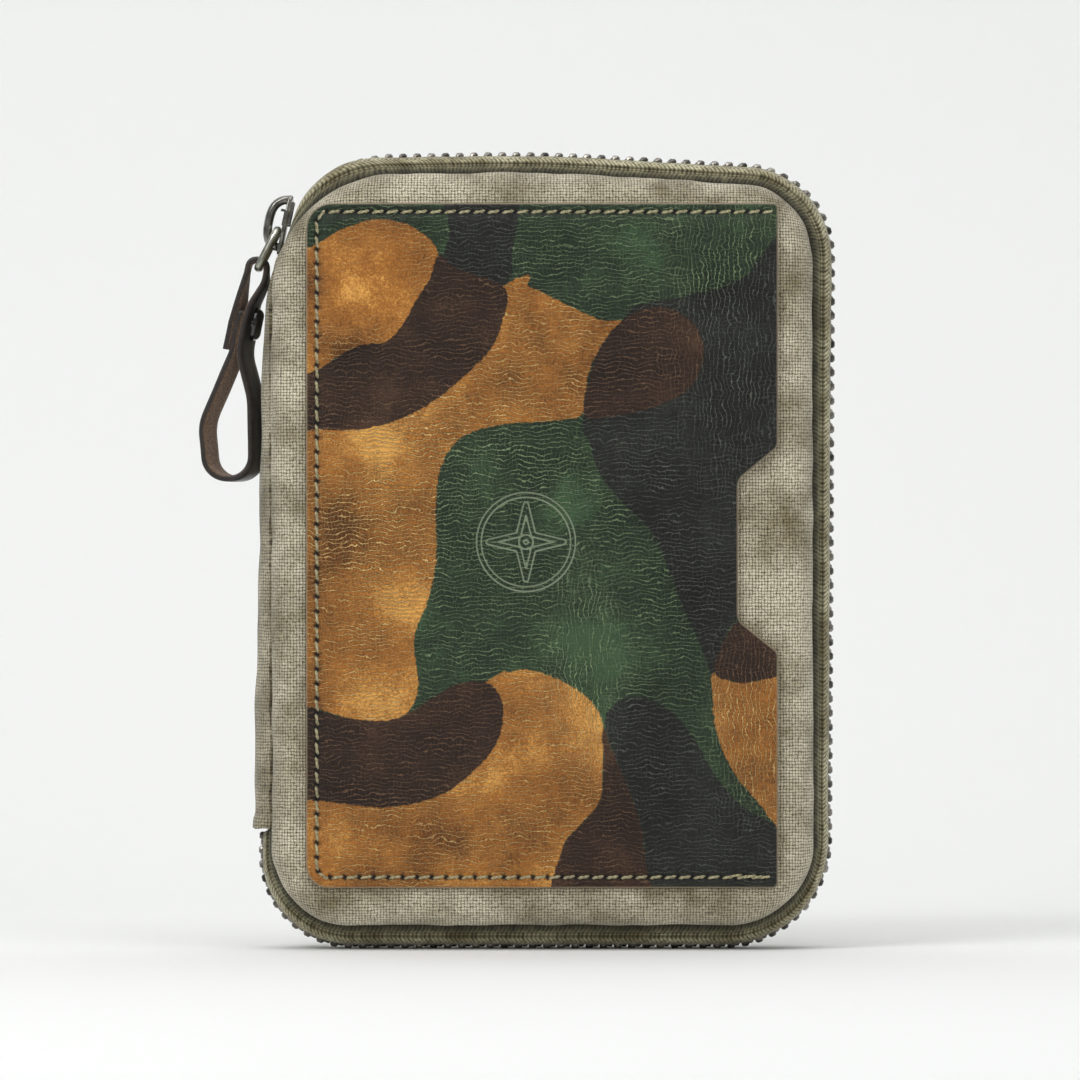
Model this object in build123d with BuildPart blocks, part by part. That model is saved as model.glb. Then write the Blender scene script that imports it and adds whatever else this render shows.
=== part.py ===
from build123d import *
from math import cos, radians, sin
import os

# Zip-around travel pouch standing on its zip teeth, millimetres.
# x runs to the right, y to the back, z up. The two halves meet at y = 0, the front is at -y,
# and the fold is on the left. The lowest teeth touch z = 0.

os.makedirs("parts", exist_ok=True)

# ---- driving sizes -------------------------------------------------------------------------
SEAM_Y = 8.6            # where each cover's side wall is sewn to the zip tape
FACE_Y = 15.0           # flat outer face of each cover
CANVAS_T = 1.0
FOAM_T = 3.0
BOARD_T = 1.1
LINING_T = 0.6
EDGE_ROUND = 5.0        # puffed edge of the cover
TAPE_T = 0.7
TAPE_FOLD_Y = 3.4       # the tape turns parallel to y here
TAPE_END_Y = 1.4        # woven edge that the teeth are clamped on
TOOTH_PITCH = 2.84
TOOTH_T = 1.15
TOOTH_PROUD = 0.7       # teeth stand this far outside the tape
TOOTH_DEEP = 1.4        # and this far inside it
TOOTH_GAP_Y = 0.35      # half the slit between the two rows near the slider and at the fold
TOOTH_MESH_Y = 0.55     # along the straight bottom run each tooth reaches this far past the middle
LEATHER_T = 1.2
SLIP_GAP = 0.5          # paper-thin space behind the leather
STITCH_PITCH = 2.9
STITCH_LEN = 2.2
STITCH_W = 0.75

# Seam outline of both covers, clockwise from the lower left corner, with its corner radii.
SEAM = [(-54.1, 4.9), (54.6, 4.9), (54.3, 152.6), (0.0, 155.9), (-54.1, 155.2)]
SEAM_R = [16.0, 17.0, 14.5, 300.0, 25.0]
# Outline of the tapes' outer edges. It leans in at the top of the fold.
EDGE = [(-56.9, 0.7), (57.6, 0.7), (58.4, 156.2), (0.0, 159.5), (-50.0, 158.7)]
EDGE_R = [18.0, 21.0, 18.0, 300.0, 17.5]
HINGE_X = -54.1         # fold lines of the two covers against the spine
SPINE_LOW = 24.5        # the hem at the spine's lower end
SPINE_TOP = 131.0
SPINE_HALF = 8.3        # half width of the spine between the fold lines
TOP_CUT_X = -38.5       # the zip left of this belongs to the spine at the top
LOW_CUT_X = -50.5       # and at the bottom
CUT_CLEAR = 1.5         # no tooth is clamped this close to the bottom cut, where the tape hinges
LEAN = (EDGE[4][0] - EDGE[0][0]) / (EDGE[4][1] - EDGE[0][1])


def left_edge(z):
    """x of the tapes' outer edge on the straight run along the fold."""
    return EDGE[0][0] + (z - EDGE[0][1]) * LEAN


def rounded(corners, radii):
    """Face inside a rounded outline, for use in a BuildSketch."""
    with BuildLine() as line:
        FilletPolyline(*corners, radius=radii, close=True)
    make_face(line.edges())


def front(y):
    """Sketch plane facing the viewer at depth y in front of the middle, with x right and z up."""
    return Plane.XZ.offset(y)


def mirrored(source, name):
    """The same piece on the back half."""
    with BuildPart() as piece:
        mirror(source.part, about=Plane.XZ)
    piece.part.label = name
    export_step(piece.part, f"parts/{name}.step")
    return piece


# ---- front half: covers and padding --------------------------------------------------------
with BuildPart() as cover_cavity:
    with BuildSketch(front(SEAM_Y)):
        rounded(SEAM, SEAM_R)
        offset(amount=-CANVAS_T, mode=Mode.REPLACE)
    extrude(amount=FACE_Y - CANVAS_T - SEAM_Y)
    fillet(cover_cavity.faces().sort_by(Axis.Y)[0].edges(), EDGE_ROUND - CANVAS_T)

with BuildPart() as front_canvas:
    with BuildSketch(front(SEAM_Y)):
        rounded(SEAM, SEAM_R)
    extrude(amount=FACE_Y - SEAM_Y)
    fillet(front_canvas.faces().sort_by(Axis.Y)[0].edges(), EDGE_ROUND)
    add(cover_cavity.part, mode=Mode.SUBTRACT)
front_canvas.part.label = "front_canvas"
export_step(front_canvas.part, "parts/front_canvas.step")

with BuildPart() as front_foam:
    add(cover_cavity.part)
    split(bisect_by=front(FACE_Y - CANVAS_T - FOAM_T), keep=Keep.TOP)
front_foam.part.label = "front_foam"
export_step(front_foam.part, "parts/front_foam.step")

with BuildPart() as front_board:
    with BuildSketch(front(FACE_Y - CANVAS_T - FOAM_T)):
        rounded(SEAM, SEAM_R)
        offset(amount=-2 * CANVAS_T, mode=Mode.REPLACE)
    extrude(amount=-BOARD_T)
front_board.part.label = "front_board"
export_step(front_board.part, "parts/front_board.step")

LINING_Y = FACE_Y - CANVAS_T - FOAM_T - BOARD_T
with BuildPart() as front_lining:
    with BuildSketch(front(LINING_Y)):
        rounded(SEAM, SEAM_R)
        offset(amount=-CANVAS_T, mode=Mode.REPLACE)
    extrude(amount=-LINING_T)
front_lining.part.label = "front_lining"
export_step(front_lining.part, "parts/front_lining.step")

BINDING_T = 1.6
BINDING_OUT = 1.4       # the binding's two edges, inside the seam line
BINDING_IN = 4.2
BINDING_ROUND = 0.6
with BuildPart() as front_seam_binding:
    with BuildSketch(front(LINING_Y - LINING_T)):
        rounded(SEAM, SEAM_R)
        offset(amount=-BINDING_OUT, mode=Mode.REPLACE)
    extrude(amount=-BINDING_T)
    with BuildSketch(front(LINING_Y - LINING_T)):
        rounded(SEAM, SEAM_R)
        offset(amount=-BINDING_IN, mode=Mode.REPLACE)
    extrude(amount=-BINDING_T, mode=Mode.SUBTRACT)
    fillet(front_seam_binding.faces().sort_by(Axis.Y)[-1].edges(), BINDING_ROUND)
front_seam_binding.part.label = "front_seam_binding"
export_step(front_seam_binding.part, "parts/front_seam_binding.step")

# ---- front half: leather slip pocket, open on the right with a thumb notch ------------------
POCKET = [(-47.1, 12.5), (47.3, 12.5), (47.3, 59.7), (39.3, 66.1), (39.3, 94.1), (47.3, 100.7),
          (47.3, 149.5), (-47.1, 149.5)]
POCKET_R = [3.5, 1.0, 2.0, 3.0, 3.0, 2.0, 0.6, 3.8]
HEM_W = 3.5             # sewn border, which lies on the canvas
POCKET_W = POCKET[1][0] - POCKET[0][0]
POCKET_H = POCKET[6][1] - POCKET[1][1]
POCKET_MID = (POCKET[0][0] + POCKET_W / 2, POCKET[0][1] + POCKET_H / 2)
with BuildPart() as leather_pocket:
    with BuildSketch(front(FACE_Y + SLIP_GAP)):
        rounded(POCKET, POCKET_R)
    extrude(amount=LEATHER_T)
    with BuildSketch(front(FACE_Y)):
        rounded(POCKET, POCKET_R)
        with Locations((POCKET_MID[0] + HEM_W, POCKET_MID[1])):
            Rectangle(POCKET_W, POCKET_H - 2 * HEM_W, mode=Mode.SUBTRACT)
    extrude(amount=LEATHER_T)
leather_pocket.part.label = "leather_pocket"
export_step(leather_pocket.part, "parts/leather_pocket.step")

# Saddle-like stitches along the left, top and bottom of the pocket.
STITCH_Y = FACE_Y + SLIP_GAP + LEATHER_T
LEFT_X, LOW_Z, TOP_Z, END_X = -44.9, 14.7, 147.7, 45.2
LEFT_COUNT, ROW_COUNT = 45, 31
ROW_MID = (LEFT_X + END_X) / 2 + 0.4
THREAD_PROUD = 0.4
with BuildPart() as pocket_stitching:
    with BuildSketch(front(STITCH_Y)):
        with Locations((LEFT_X, (LOW_Z + TOP_Z) / 2)):
            with GridLocations(0, STITCH_PITCH, 1, LEFT_COUNT):
                SlotOverall(STITCH_LEN, STITCH_W, rotation=90)
        for row_z in (LOW_Z, TOP_Z):
            with Locations((ROW_MID, row_z)):
                with GridLocations(STITCH_PITCH, 0, ROW_COUNT, 1):
                    SlotOverall(STITCH_LEN, STITCH_W)
    extrude(amount=THREAD_PROUD)
pocket_stitching.part.label = "pocket_stitching"
export_step(pocket_stitching.part, "parts/pocket_stitching.step")

# ---- zip tapes -------------------------------------------------------------------------------
with BuildPart() as tape_ring:
    with BuildSketch(front(SEAM_Y)):
        rounded(SEAM, SEAM_R)
    with BuildSketch(front(TAPE_FOLD_Y)):
        rounded(EDGE, EDGE_R)
    loft(ruled=True)
    with BuildSketch(front(SEAM_Y)):
        rounded(SEAM, SEAM_R)
        offset(amount=-TAPE_T, mode=Mode.REPLACE)
    with BuildSketch(front(TAPE_FOLD_Y)):
        rounded(EDGE, EDGE_R)
        offset(amount=-TAPE_T, mode=Mode.REPLACE)
    loft(ruled=True, mode=Mode.SUBTRACT)
    with BuildSketch(front(TAPE_FOLD_Y)):
        rounded(EDGE, EDGE_R)
        offset(amount=-TAPE_T, mode=Mode.SUBTRACT)
    extrude(amount=TAPE_END_Y - TAPE_FOLD_Y)

BIG = 200.0
TAPE_LOW_END = SPINE_LOW - 0.2      # the tapes stop just under the spine's hem
TAPE_TOP_END = SPINE_TOP + 0.2
MID_Z = 80.0


def slab(x0, x1, z0, z1):
    """Everything between two x and two z values, through the whole depth."""
    with Locations(((x0 + x1) / 2, 0, (z0 + z1) / 2)):
        Box(x1 - x0, BIG, z1 - z0, mode=Mode.INTERSECT)


with BuildPart() as zip_tape_front:
    add(tape_ring.part)
    with Locations((LOW_CUT_X - BIG / 2, 0, MID_Z - BIG / 2)):
        Box(BIG, BIG, BIG, mode=Mode.SUBTRACT)
    with Locations((TOP_CUT_X - BIG / 2, 0, MID_Z + BIG / 2)):
        Box(BIG, BIG, BIG, mode=Mode.SUBTRACT)
zip_tape_front.part.label = "zip_tape_front"
export_step(zip_tape_front.part, "parts/zip_tape_front.step")

with BuildPart() as tape_end_top_front:
    add(tape_ring.part)
    slab(-BIG, TOP_CUT_X, TAPE_TOP_END, BIG)
tape_end_top_front.part.label = "tape_end_top_front"
export_step(tape_end_top_front.part, "parts/tape_end_top_front.step")

with BuildPart() as tape_end_low_front:
    add(tape_ring.part)
    slab(-BIG, LOW_CUT_X, -BIG, TAPE_LOW_END)
tape_end_low_front.part.label = "tape_end_low_front"
export_step(tape_end_low_front.part, "parts/tape_end_low_front.step")

# ---- zip teeth -------------------------------------------------------------------------------
# The teeth follow the tape's edge from under the hem, round the bottom, right and top, to the slider.
TEETH_START_Z = TAPE_LOW_END - 0.8
TEETH_END_Z = 141.5
with BuildLine() as edge_line:
    FilletPolyline((left_edge(TEETH_START_Z), TEETH_START_Z), *EDGE, (left_edge(TEETH_END_Z), TEETH_END_Z),
                   radius=EDGE_R)
edge_wire = edge_line.wires()[0]


def along(distance):
    """Place on the zip: x points outwards, y to the back, z along the tape's edge."""
    point = edge_wire.position_at(distance, position_mode=PositionMode.LENGTH)
    run = edge_wire.tangent_at(distance, position_mode=PositionMode.LENGTH)
    return Plane((point.X, 0, point.Y), x_dir=(run.Y, 0, -run.X), z_dir=(run.X, 0, run.Y)).location


JAW_END_Y = 3.3         # how far the tooth's two jaws reach down the tape
JAW_FIT = 0.05          # slack between jaw and tape
HEAD_Y = 1.35           # the solid head of the tooth ends where the tape's edge begins


def tooth(y_sign, thick, near_y):
    """One tooth clamped over the tape edge, standing at the origin: x outwards, z along the zip.
    near_y is where its head ends, negative where it reaches past the middle."""
    tape_in, tape_out = -TAPE_T - JAW_FIT, JAW_FIT
    with BuildPart() as one:
        with BuildSketch(Plane.XY):
            with BuildLine():
                Polyline((TOOTH_PROUD, -y_sign * JAW_END_Y), (TOOTH_PROUD, -y_sign * near_y),
                         (-TOOTH_DEEP, -y_sign * near_y), (-TOOTH_DEEP, -y_sign * JAW_END_Y),
                         (tape_in, -y_sign * JAW_END_Y), (tape_in, -y_sign * HEAD_Y),
                         (tape_out, -y_sign * HEAD_Y), (tape_out, -y_sign * JAW_END_Y), close=True)
            make_face()
        extrude(amount=thick / 2, both=True)
    return one.part


def owner(place):
    """Which piece of the zip a tooth belongs to, or None where the tape hinges."""
    x, z = place.position.X, place.position.Z
    if z < MID_Z and LOW_CUT_X - CUT_CLEAR < x < LOW_CUT_X:
        return None
    if x < (LOW_CUT_X if z < MID_Z else TOP_CUT_X):
        return "end_low" if z < MID_Z else "end_top"
    return "base" if z < EDGE[0][1] + 0.02 else "run"


HALF_PITCH = TOOTH_PITCH / 2
MIDDLE_AT = edge_wire.param_at_point((0, EDGE[0][1])) * edge_wire.length
FIRST_AT = MIDDLE_AT % HALF_PITCH       # so that one tooth stands on the middle of the bottom run
HALF_COUNT = int((edge_wire.length - FIRST_AT) / HALF_PITCH)
PLACES = [along(FIRST_AT + i * HALF_PITCH) for i in range(HALF_COUNT)]
ROWS = {"front": (1, PLACES[0::2]), "back": (-1, PLACES[1::2])}
for row, (y_sign, places) in ROWS.items():
    for kind in ("base", "run", "end_low", "end_top"):
        shape = tooth(y_sign, TOOTH_T, -TOOTH_MESH_Y if kind == "base" else TOOTH_GAP_Y)
        name = f"zip_teeth_{row}_{kind}"
        with BuildPart() as teeth:
            with Locations(*[p for p in places if owner(p) == kind]):
                add(shape)
        teeth.part.label = name
        export_step(teeth.part, f"parts/{name}.step")

# ---- stops at the two ends of the zip ----------------------------------------------------------
STOP_T = 2.0
STOP_Z = 134.5
with BuildPart() as zip_top_stops:
    top_stop_place = Plane((left_edge(STOP_Z), 0, STOP_Z), x_dir=(-1, 0, LEAN), z_dir=(LEAN, 0, 1))
    with Locations(top_stop_place.location):
        add(tooth(1, STOP_T, TOOTH_GAP_Y))
        add(tooth(-1, STOP_T, TOOTH_GAP_Y))
zip_top_stops.part.label = "zip_top_stops"
export_step(zip_top_stops.part, "parts/zip_top_stops.step")

BOTTOM_STOP_X = -55.35
BOTTOM_STOP = (1.5, 6.0, 4.0)       # its thickness, width and height
with BuildPart() as zip_bottom_stop:
    with Locations((BOTTOM_STOP_X, 0, TAPE_LOW_END + BOTTOM_STOP[2] / 2)):
        Box(*BOTTOM_STOP)
    fillet(zip_bottom_stop.edges().filter_by(Axis.Z), 0.4)
zip_bottom_stop.part.label = "zip_bottom_stop"
export_step(zip_bottom_stop.part, "parts/zip_bottom_stop.step")

# ---- fold: bowed canvas spine and its lining ---------------------------------------------------
SPINE_BOWS = [(SPINE_LOW, 3.7), (66.0, 2.9), (95.0, 1.9), (SPINE_TOP, 0.2)]    # height, bow outwards
SPINE_LINING_FOOT = (SPINE_LOW + 5.0, 3.6)
LINING_IN = 1.1         # the lining is this much narrower on each side
LINING_SLACK = 0.05


def spine_section(bow, half, inner, outer):
    """Bowed strip across the fold, between two distances inside its outer surface, in a BuildSketch."""
    x_out = HINGE_X + outer - bow
    x_in = HINGE_X + inner - bow
    back_off = bow * (half / SPINE_HALF) ** 2
    with BuildLine() as line:
        ThreePointArc((x_out + back_off, -half), (x_out, 0), (x_out + back_off, half))
        Line((x_out + back_off, half), (x_in + back_off, half))
        ThreePointArc((x_in + back_off, half), (x_in, 0), (x_in + back_off, -half))
        Line((x_in + back_off, -half), (x_out + back_off, -half))
    make_face(line.edges())


with BuildPart() as spine_canvas:
    for z, bow in SPINE_BOWS:
        with BuildSketch(Plane.XY.offset(z)):
            spine_section(bow, SPINE_HALF, CANVAS_T, 0)
    loft()
spine_canvas.part.label = "spine_canvas"
export_step(spine_canvas.part, "parts/spine_canvas.step")

with BuildPart() as spine_lining:
    for z, bow in [SPINE_LINING_FOOT] + SPINE_BOWS[1:]:
        with BuildSketch(Plane.XY.offset(z)):
            spine_section(bow, SPINE_HALF - LINING_IN, CANVAS_T + LINING_SLACK + LINING_T,
                          CANVAS_T + LINING_SLACK)
    loft()
spine_lining.part.label = "spine_lining"
export_step(spine_lining.part, "parts/spine_lining.step")

# ---- slider: it runs on the rounded top left corner of the zip ----------------------------------
CORNER_ARC = edge_wire.edges().filter_by(GeomType.CIRCLE).sort_by(Axis.X)[:2].sort_by(Axis.Y)[-1]
CORNER = CORNER_ARC.arc_center
CORNER_R = EDGE_R[4]
SLIDER_ANGLE = radians(12.0)        # above the left direction, seen from the corner's centre
UP = (sin(SLIDER_ANGLE), 0, cos(SLIDER_ANGLE))
OUT = (-cos(SLIDER_ANGLE), 0, sin(SLIDER_ANGLE))
SLIDER_AT = (CORNER.X + CORNER_R * OUT[0], 0, CORNER.Y + CORNER_R * OUT[2])
PLATES = Plane(SLIDER_AT, x_dir=UP, z_dir=OUT)
SIDE = Plane(SLIDER_AT, x_dir=UP, z_dir=(0, -1, 0))
PLATE_T = 0.9
TOP_PLATE = 0.9         # underside of the top plate above the tape's edge
LOW_PLATE = -2.75       # upper side of the bottom plate
PLATE_OUTLINE = [(-6.0, -2.9), (-1.6, -4.6), (3.0, -4.5), (6.2, -3.6), (6.2, 3.6), (3.0, 4.5), (-1.6, 4.6),
                 (-6.0, 2.9)]

PLATE_R = [1.6, 2.0, 2.0, 1.2, 1.2, 2.0, 2.0, 1.6]
PLATE_ROUND = 0.25
LOW_PLATE_SIZE = (11.6, 7.4, 1.8)   # length, width, corner radius
LOW_PLATE_AT = 0.1
DIVIDER_AT = -4.6
DIVIDER = (2.4, 0.4)                # the web that parts the two rows: length and thickness
SINK = 0.2                          # the web runs this far into each plate
FLANGE_AT = (2.6, 4.0)
FLANGE = (5.0, 0.7, 0.3)
FLANGE_DEEP = 0.6

with BuildPart() as slider_body:
    with BuildSketch(PLATES.offset(TOP_PLATE)):
        rounded(PLATE_OUTLINE, PLATE_R)
    extrude(amount=PLATE_T)
    fillet(slider_body.faces().sort_by(SortBy.AREA)[-2:].edges(), PLATE_ROUND)
    with BuildSketch(PLATES.offset(LOW_PLATE)):
        with Locations((LOW_PLATE_AT, 0)):
            RectangleRounded(*LOW_PLATE_SIZE)
    extrude(amount=-PLATE_T)
    with BuildSketch(PLATES.offset(LOW_PLATE - SINK)):
        with Locations((DIVIDER_AT, 0)):
            SlotOverall(*DIVIDER)
    extrude(amount=TOP_PLATE - LOW_PLATE + 2 * SINK)
    with BuildSketch(PLATES.offset(TOP_PLATE + SINK / 2)):
        with Locations((FLANGE_AT[0], -FLANGE_AT[1]), FLANGE_AT):
            RectangleRounded(*FLANGE)
    extrude(amount=-FLANGE_DEEP)
slider_body.part.label = "slider_body"
export_step(slider_body.part, "parts/slider_body.step")

PLATE_TOP = TOP_PLATE + PLATE_T
CROWN_H = 3.4           # outer height of the bridge over the plate
CROWN_GAP = 2.1         # clear height under it
CROWN_HALF_W = 1.5
with BuildPart() as slider_crown:
    with BuildSketch(SIDE):
        with BuildLine():
            FilletPolyline((-4.7, PLATE_TOP), (-4.1, PLATE_TOP + CROWN_H), (3.7, PLATE_TOP + CROWN_H),
                           (4.9, PLATE_TOP), radius=[1.9, 2.2])
            Line((4.9, PLATE_TOP), (3.6, PLATE_TOP))
            FilletPolyline((3.6, PLATE_TOP), (2.9, PLATE_TOP + CROWN_GAP), (-3.0, PLATE_TOP + CROWN_GAP),
                           (-3.4, PLATE_TOP), radius=[1.1, 0.9])
            Line((-3.4, PLATE_TOP), (-4.7, PLATE_TOP))
        make_face()
    extrude(amount=CROWN_HALF_W, both=True)
    fillet(slider_crown.faces().filter_by(Axis.Y).edges().filter_by(GeomType.CIRCLE), 0.3)
slider_crown.part.label = "slider_crown"
export_step(slider_crown.part, "parts/slider_crown.step")

SPRING_LEN, SPRING_T, SPRING_HALF_W = 3.2, 0.3, 0.8
TAB_AT, TAB_T, TAB_H = 3.0, 0.5, 1.0
with BuildPart() as slider_lock_spring:
    with BuildSketch(SIDE):
        with Locations((SPRING_LEN / 2, PLATE_TOP + SPRING_T / 2)):
            Rectangle(SPRING_LEN, SPRING_T)
        with Locations((TAB_AT, PLATE_TOP + TAB_H / 2)):
            Rectangle(TAB_T, TAB_H)
    extrude(amount=SPRING_HALF_W, both=True)
slider_lock_spring.part.label = "slider_lock_spring"
export_step(slider_lock_spring.part, "parts/slider_lock_spring.step")

# ---- pull: wire ring through the crown, leather strap through the ring --------------------------
WIRE_R = 0.7
RING_HALF_W = 4.3
RING_R = 2.0            # bend radius of the ring's corners
RING_TOP = PLATES.from_local_coords(Vector(-1.2, 0, PLATE_TOP + WIRE_R + 0.1))
RING_LOW = Vector(-57.0, 0, 136.9)
hang = (RING_LOW - RING_TOP).normalized()
RING_PLANE = Plane(RING_TOP, x_dir=(0, 1, 0), z_dir=Vector(0, 1, 0).cross(hang))
RING_LEN = (RING_LOW - RING_TOP).length
with BuildPart() as pull_ring:
    with BuildLine(RING_PLANE) as ring_line:
        FilletPolyline((-RING_HALF_W, 0), (RING_HALF_W, 0), (RING_HALF_W, RING_LEN),
                       (-RING_HALF_W, RING_LEN), radius=RING_R, close=True)
    ring_start = ring_line.wires()[0]
    with BuildSketch(Plane(ring_start @ 0, z_dir=ring_start % 0)):
        Circle(WIRE_R)
    sweep(path=ring_start)
pull_ring.part.label = "pull_ring"
export_step(pull_ring.part, "parts/pull_ring.step")

STRAP_T = 1.2
STRAP_HALF_W = 3.2
STRAP = [(-62.45, 120.5), (-58.75, 138.6), (-55.3, 138.5), (-55.5, 133.9), (-57.99, 129.4), (-59.9, 119.6),
         (-57.5, 110.5), (-57.3, 94.6), (-66.4, 94.3), (-67.4, 105.5), (-61.2, 119.9), (-59.55, 128.2)]
STRAP_R = [1.5, 1.5, 5.0, 5.0, 9.0, 14.0, 4.4, 4.6, 10.0, 9.0]
RIVET_AT = Vector(-58.1, 0, 125.6)
RIVET_AXIS = Vector(0.981, 0, -0.192)
RIVET = Plane(RIVET_AT, x_dir=(0, 1, 0), z_dir=RIVET_AXIS)
POST_R = 1.1
CAP_R, CAP_T, CAP_ROUND = 3.4, 1.9, 1.7
STACK = 3 * STRAP_T + 0.35
HOLE_OVER, HOLE_UNDER = 1.0, 1.0    # the rivet's hole is cut this far past the stack on each side
with BuildPart() as pull_strap:
    with BuildSketch(Plane.XZ):
        with BuildLine():
            FilletPolyline(*STRAP, radius=STRAP_R)
        trace(line_width=STRAP_T)
    extrude(amount=STRAP_HALF_W, both=True)
    with BuildSketch(RIVET.offset(HOLE_OVER)):
        Circle(POST_R)
    extrude(amount=-STACK - HOLE_OVER - HOLE_UNDER, mode=Mode.SUBTRACT)
pull_strap.part.label = "pull_strap"
export_step(pull_strap.part, "parts/pull_strap.step")

with BuildPart() as rivet_post:
    with BuildSketch(RIVET):
        Circle(POST_R)
    extrude(amount=-STACK)
rivet_post.part.label = "rivet_post"
export_step(rivet_post.part, "parts/rivet_post.step")

with BuildPart() as rivet_cap:
    with BuildSketch(RIVET):
        Circle(CAP_R)
    extrude(amount=CAP_T)
    fillet(rivet_cap.faces().sort_by(Axis.X)[-1].edges(), CAP_ROUND)
rivet_cap.part.label = "rivet_cap"
export_step(rivet_cap.part, "parts/rivet_cap.step")

# ---- back half ---------------------------------------------------------------------------------
back_canvas = mirrored(front_canvas, "back_canvas")
back_foam = mirrored(front_foam, "back_foam")
back_board = mirrored(front_board, "back_board")
back_lining = mirrored(front_lining, "back_lining")
back_seam_binding = mirrored(front_seam_binding, "back_seam_binding")
zip_tape_back = mirrored(zip_tape_front, "zip_tape_back")
tape_end_top_back = mirrored(tape_end_top_front, "tape_end_top_back")
tape_end_low_back = mirrored(tape_end_low_front, "tape_end_low_back")
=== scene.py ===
import math

import bpy
import numpy as np
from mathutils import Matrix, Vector, noise
from mathutils.geometry import delaunay_2d_cdt


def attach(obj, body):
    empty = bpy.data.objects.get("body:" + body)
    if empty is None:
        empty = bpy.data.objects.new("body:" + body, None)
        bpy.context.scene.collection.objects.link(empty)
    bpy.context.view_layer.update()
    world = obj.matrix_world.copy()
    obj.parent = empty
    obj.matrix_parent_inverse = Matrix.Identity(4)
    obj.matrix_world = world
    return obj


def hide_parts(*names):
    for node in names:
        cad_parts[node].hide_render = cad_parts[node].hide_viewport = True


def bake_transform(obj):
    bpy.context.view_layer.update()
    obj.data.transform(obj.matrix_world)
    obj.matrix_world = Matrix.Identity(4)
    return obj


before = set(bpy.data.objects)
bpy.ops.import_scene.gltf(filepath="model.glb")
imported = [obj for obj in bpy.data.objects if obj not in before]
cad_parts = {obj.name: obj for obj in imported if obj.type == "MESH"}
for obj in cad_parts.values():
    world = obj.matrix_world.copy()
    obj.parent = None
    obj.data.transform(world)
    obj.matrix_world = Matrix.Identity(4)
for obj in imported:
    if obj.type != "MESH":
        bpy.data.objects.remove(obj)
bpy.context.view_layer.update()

# ---- canvas covers ---------------------------------------------------------------------------
# Two padded covers of washed, dusty khaki duck canvas, cut to a rounded outline, drawn over foam and
# board and sewn to the zip all round, so that the face is puffed and the edge puckers into the seam.
MM = 0.001
SEAM = [(-54.1, 4.9), (54.6, 4.9), (54.3, 152.6), (0.0, 155.9), (-54.1, 155.2)]
SEAM_R = [16.0, 17.0, 14.5, 300.0, 25.0]
YARN = 0.62              # mm from one canvas yarn to the next
STRAIGHT_STEPS = [54, 70, 30, 22, 66]
ARC_STEPS = [17, 18, 15, 12, 26]


def bend(before, here, after, radius):
    """Where an arc that rounds the corner at here starts and ends, and its centre."""
    a = (before - here) / np.linalg.norm(before - here)
    b = (after - here) / np.linalg.norm(after - here)
    half = math.acos(np.clip(a @ b, -1, 1)) / 2
    reach = radius / math.tan(half)
    centre = here + (a + b) / np.linalg.norm(a + b) * radius / math.sin(half)
    return here + a * reach, here + b * reach, centre


def rounded(corners, radii, straights=STRAIGHT_STEPS, arcs=ARC_STEPS):
    """Points and outward normals along a closed rounded outline in x and z, counter-clockwise."""
    corners = [np.array(c, float) for c in corners]
    bends = [bend(corners[i - 1], here, corners[(i + 1) % len(corners)], radii[i])
             for i, here in enumerate(corners)]
    points, normals = [], []
    for i, (start, end, centre) in enumerate(bends):
        first = math.atan2(start[1] - centre[1], start[0] - centre[0])
        last = math.atan2(end[1] - centre[1], end[0] - centre[0])
        turn = (last - first + math.pi) % (2 * math.pi) - math.pi
        for k in range(arcs[i]):
            angle = first + turn * k / arcs[i]
            out = np.array([math.cos(angle), math.sin(angle)])
            points.append(centre + out * radii[i])
            normals.append(out)
        meet = bends[(i + 1) % len(bends)][0]
        run = (meet - end) / np.linalg.norm(meet - end)
        for k in range(straights[i]):
            points.append(end + (meet - end) * k / straights[i])
            normals.append(np.array([run[1], -run[0]]))
    return np.array(points), np.array(normals)


def wavy(points, size, seed):
    """Smooth noise from -1 to 1 at points in millimetres, with waves of about that size."""
    shift = Vector((seed * 13.7, seed * 5.1, seed * 9.3))
    return np.array([noise.noise(Vector(p) / size + shift) for p in points])


def linear(code):
    """sRGB hex as linear red, green, blue and alpha."""
    parts = [int(code[i:i + 2], 16) / 255 for i in (1, 3, 5)]
    return tuple(p / 12.92 if p <= 0.04045 else ((p + 0.055) / 1.055) ** 2.4 for p in parts) + (1.0,)


def finish(name, roughness, **sockets):
    """A material; its shader's own sockets are named with _ for a space, such as Coat_Weight."""
    made = bpy.data.materials.new(name)
    made.use_nodes = True
    shader = made.node_tree.nodes["Principled BSDF"]
    shader.inputs["Roughness"].default_value = roughness
    for key, value in sockets.items():
        shader.inputs[key.replace("_", " ")].default_value = value
    return made


def node(material, kind, values=(), links=(), stops=(), to="", **settings):
    """Adds one node. values and links go by input; a link is a node or (node, output). stops are a
    ramp's (place, hex or grey), and to names the shader's socket that the node's result drives."""
    tree = material.node_tree
    made = tree.nodes.new(kind)
    for key, value in settings.items():
        setattr(made, key, value)
    for key, value in dict(values).items():
        made.inputs[key].default_value = value
    for key, source in dict(links).items():
        source, output = source if isinstance(source, tuple) else (source, 0)
        tree.links.new(source.outputs[output], made.inputs[key])
    for i, (place, shade) in enumerate(stops):
        element = made.color_ramp.elements[i] if i < 2 else made.color_ramp.elements.new(place)
        element.position = place
        element.color = linear(shade) if isinstance(shade, str) else (shade, shade, shade, 1)
    if to:
        result = made.outputs["Result"] if kind == "ShaderNodeMix" else made.outputs[0]
        if kind == "ShaderNodeMix" and made.data_type == "RGBA":
            result = made.outputs[2]
        tree.links.new(result, tree.nodes["Principled BSDF"].inputs[to])
    return made


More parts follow.
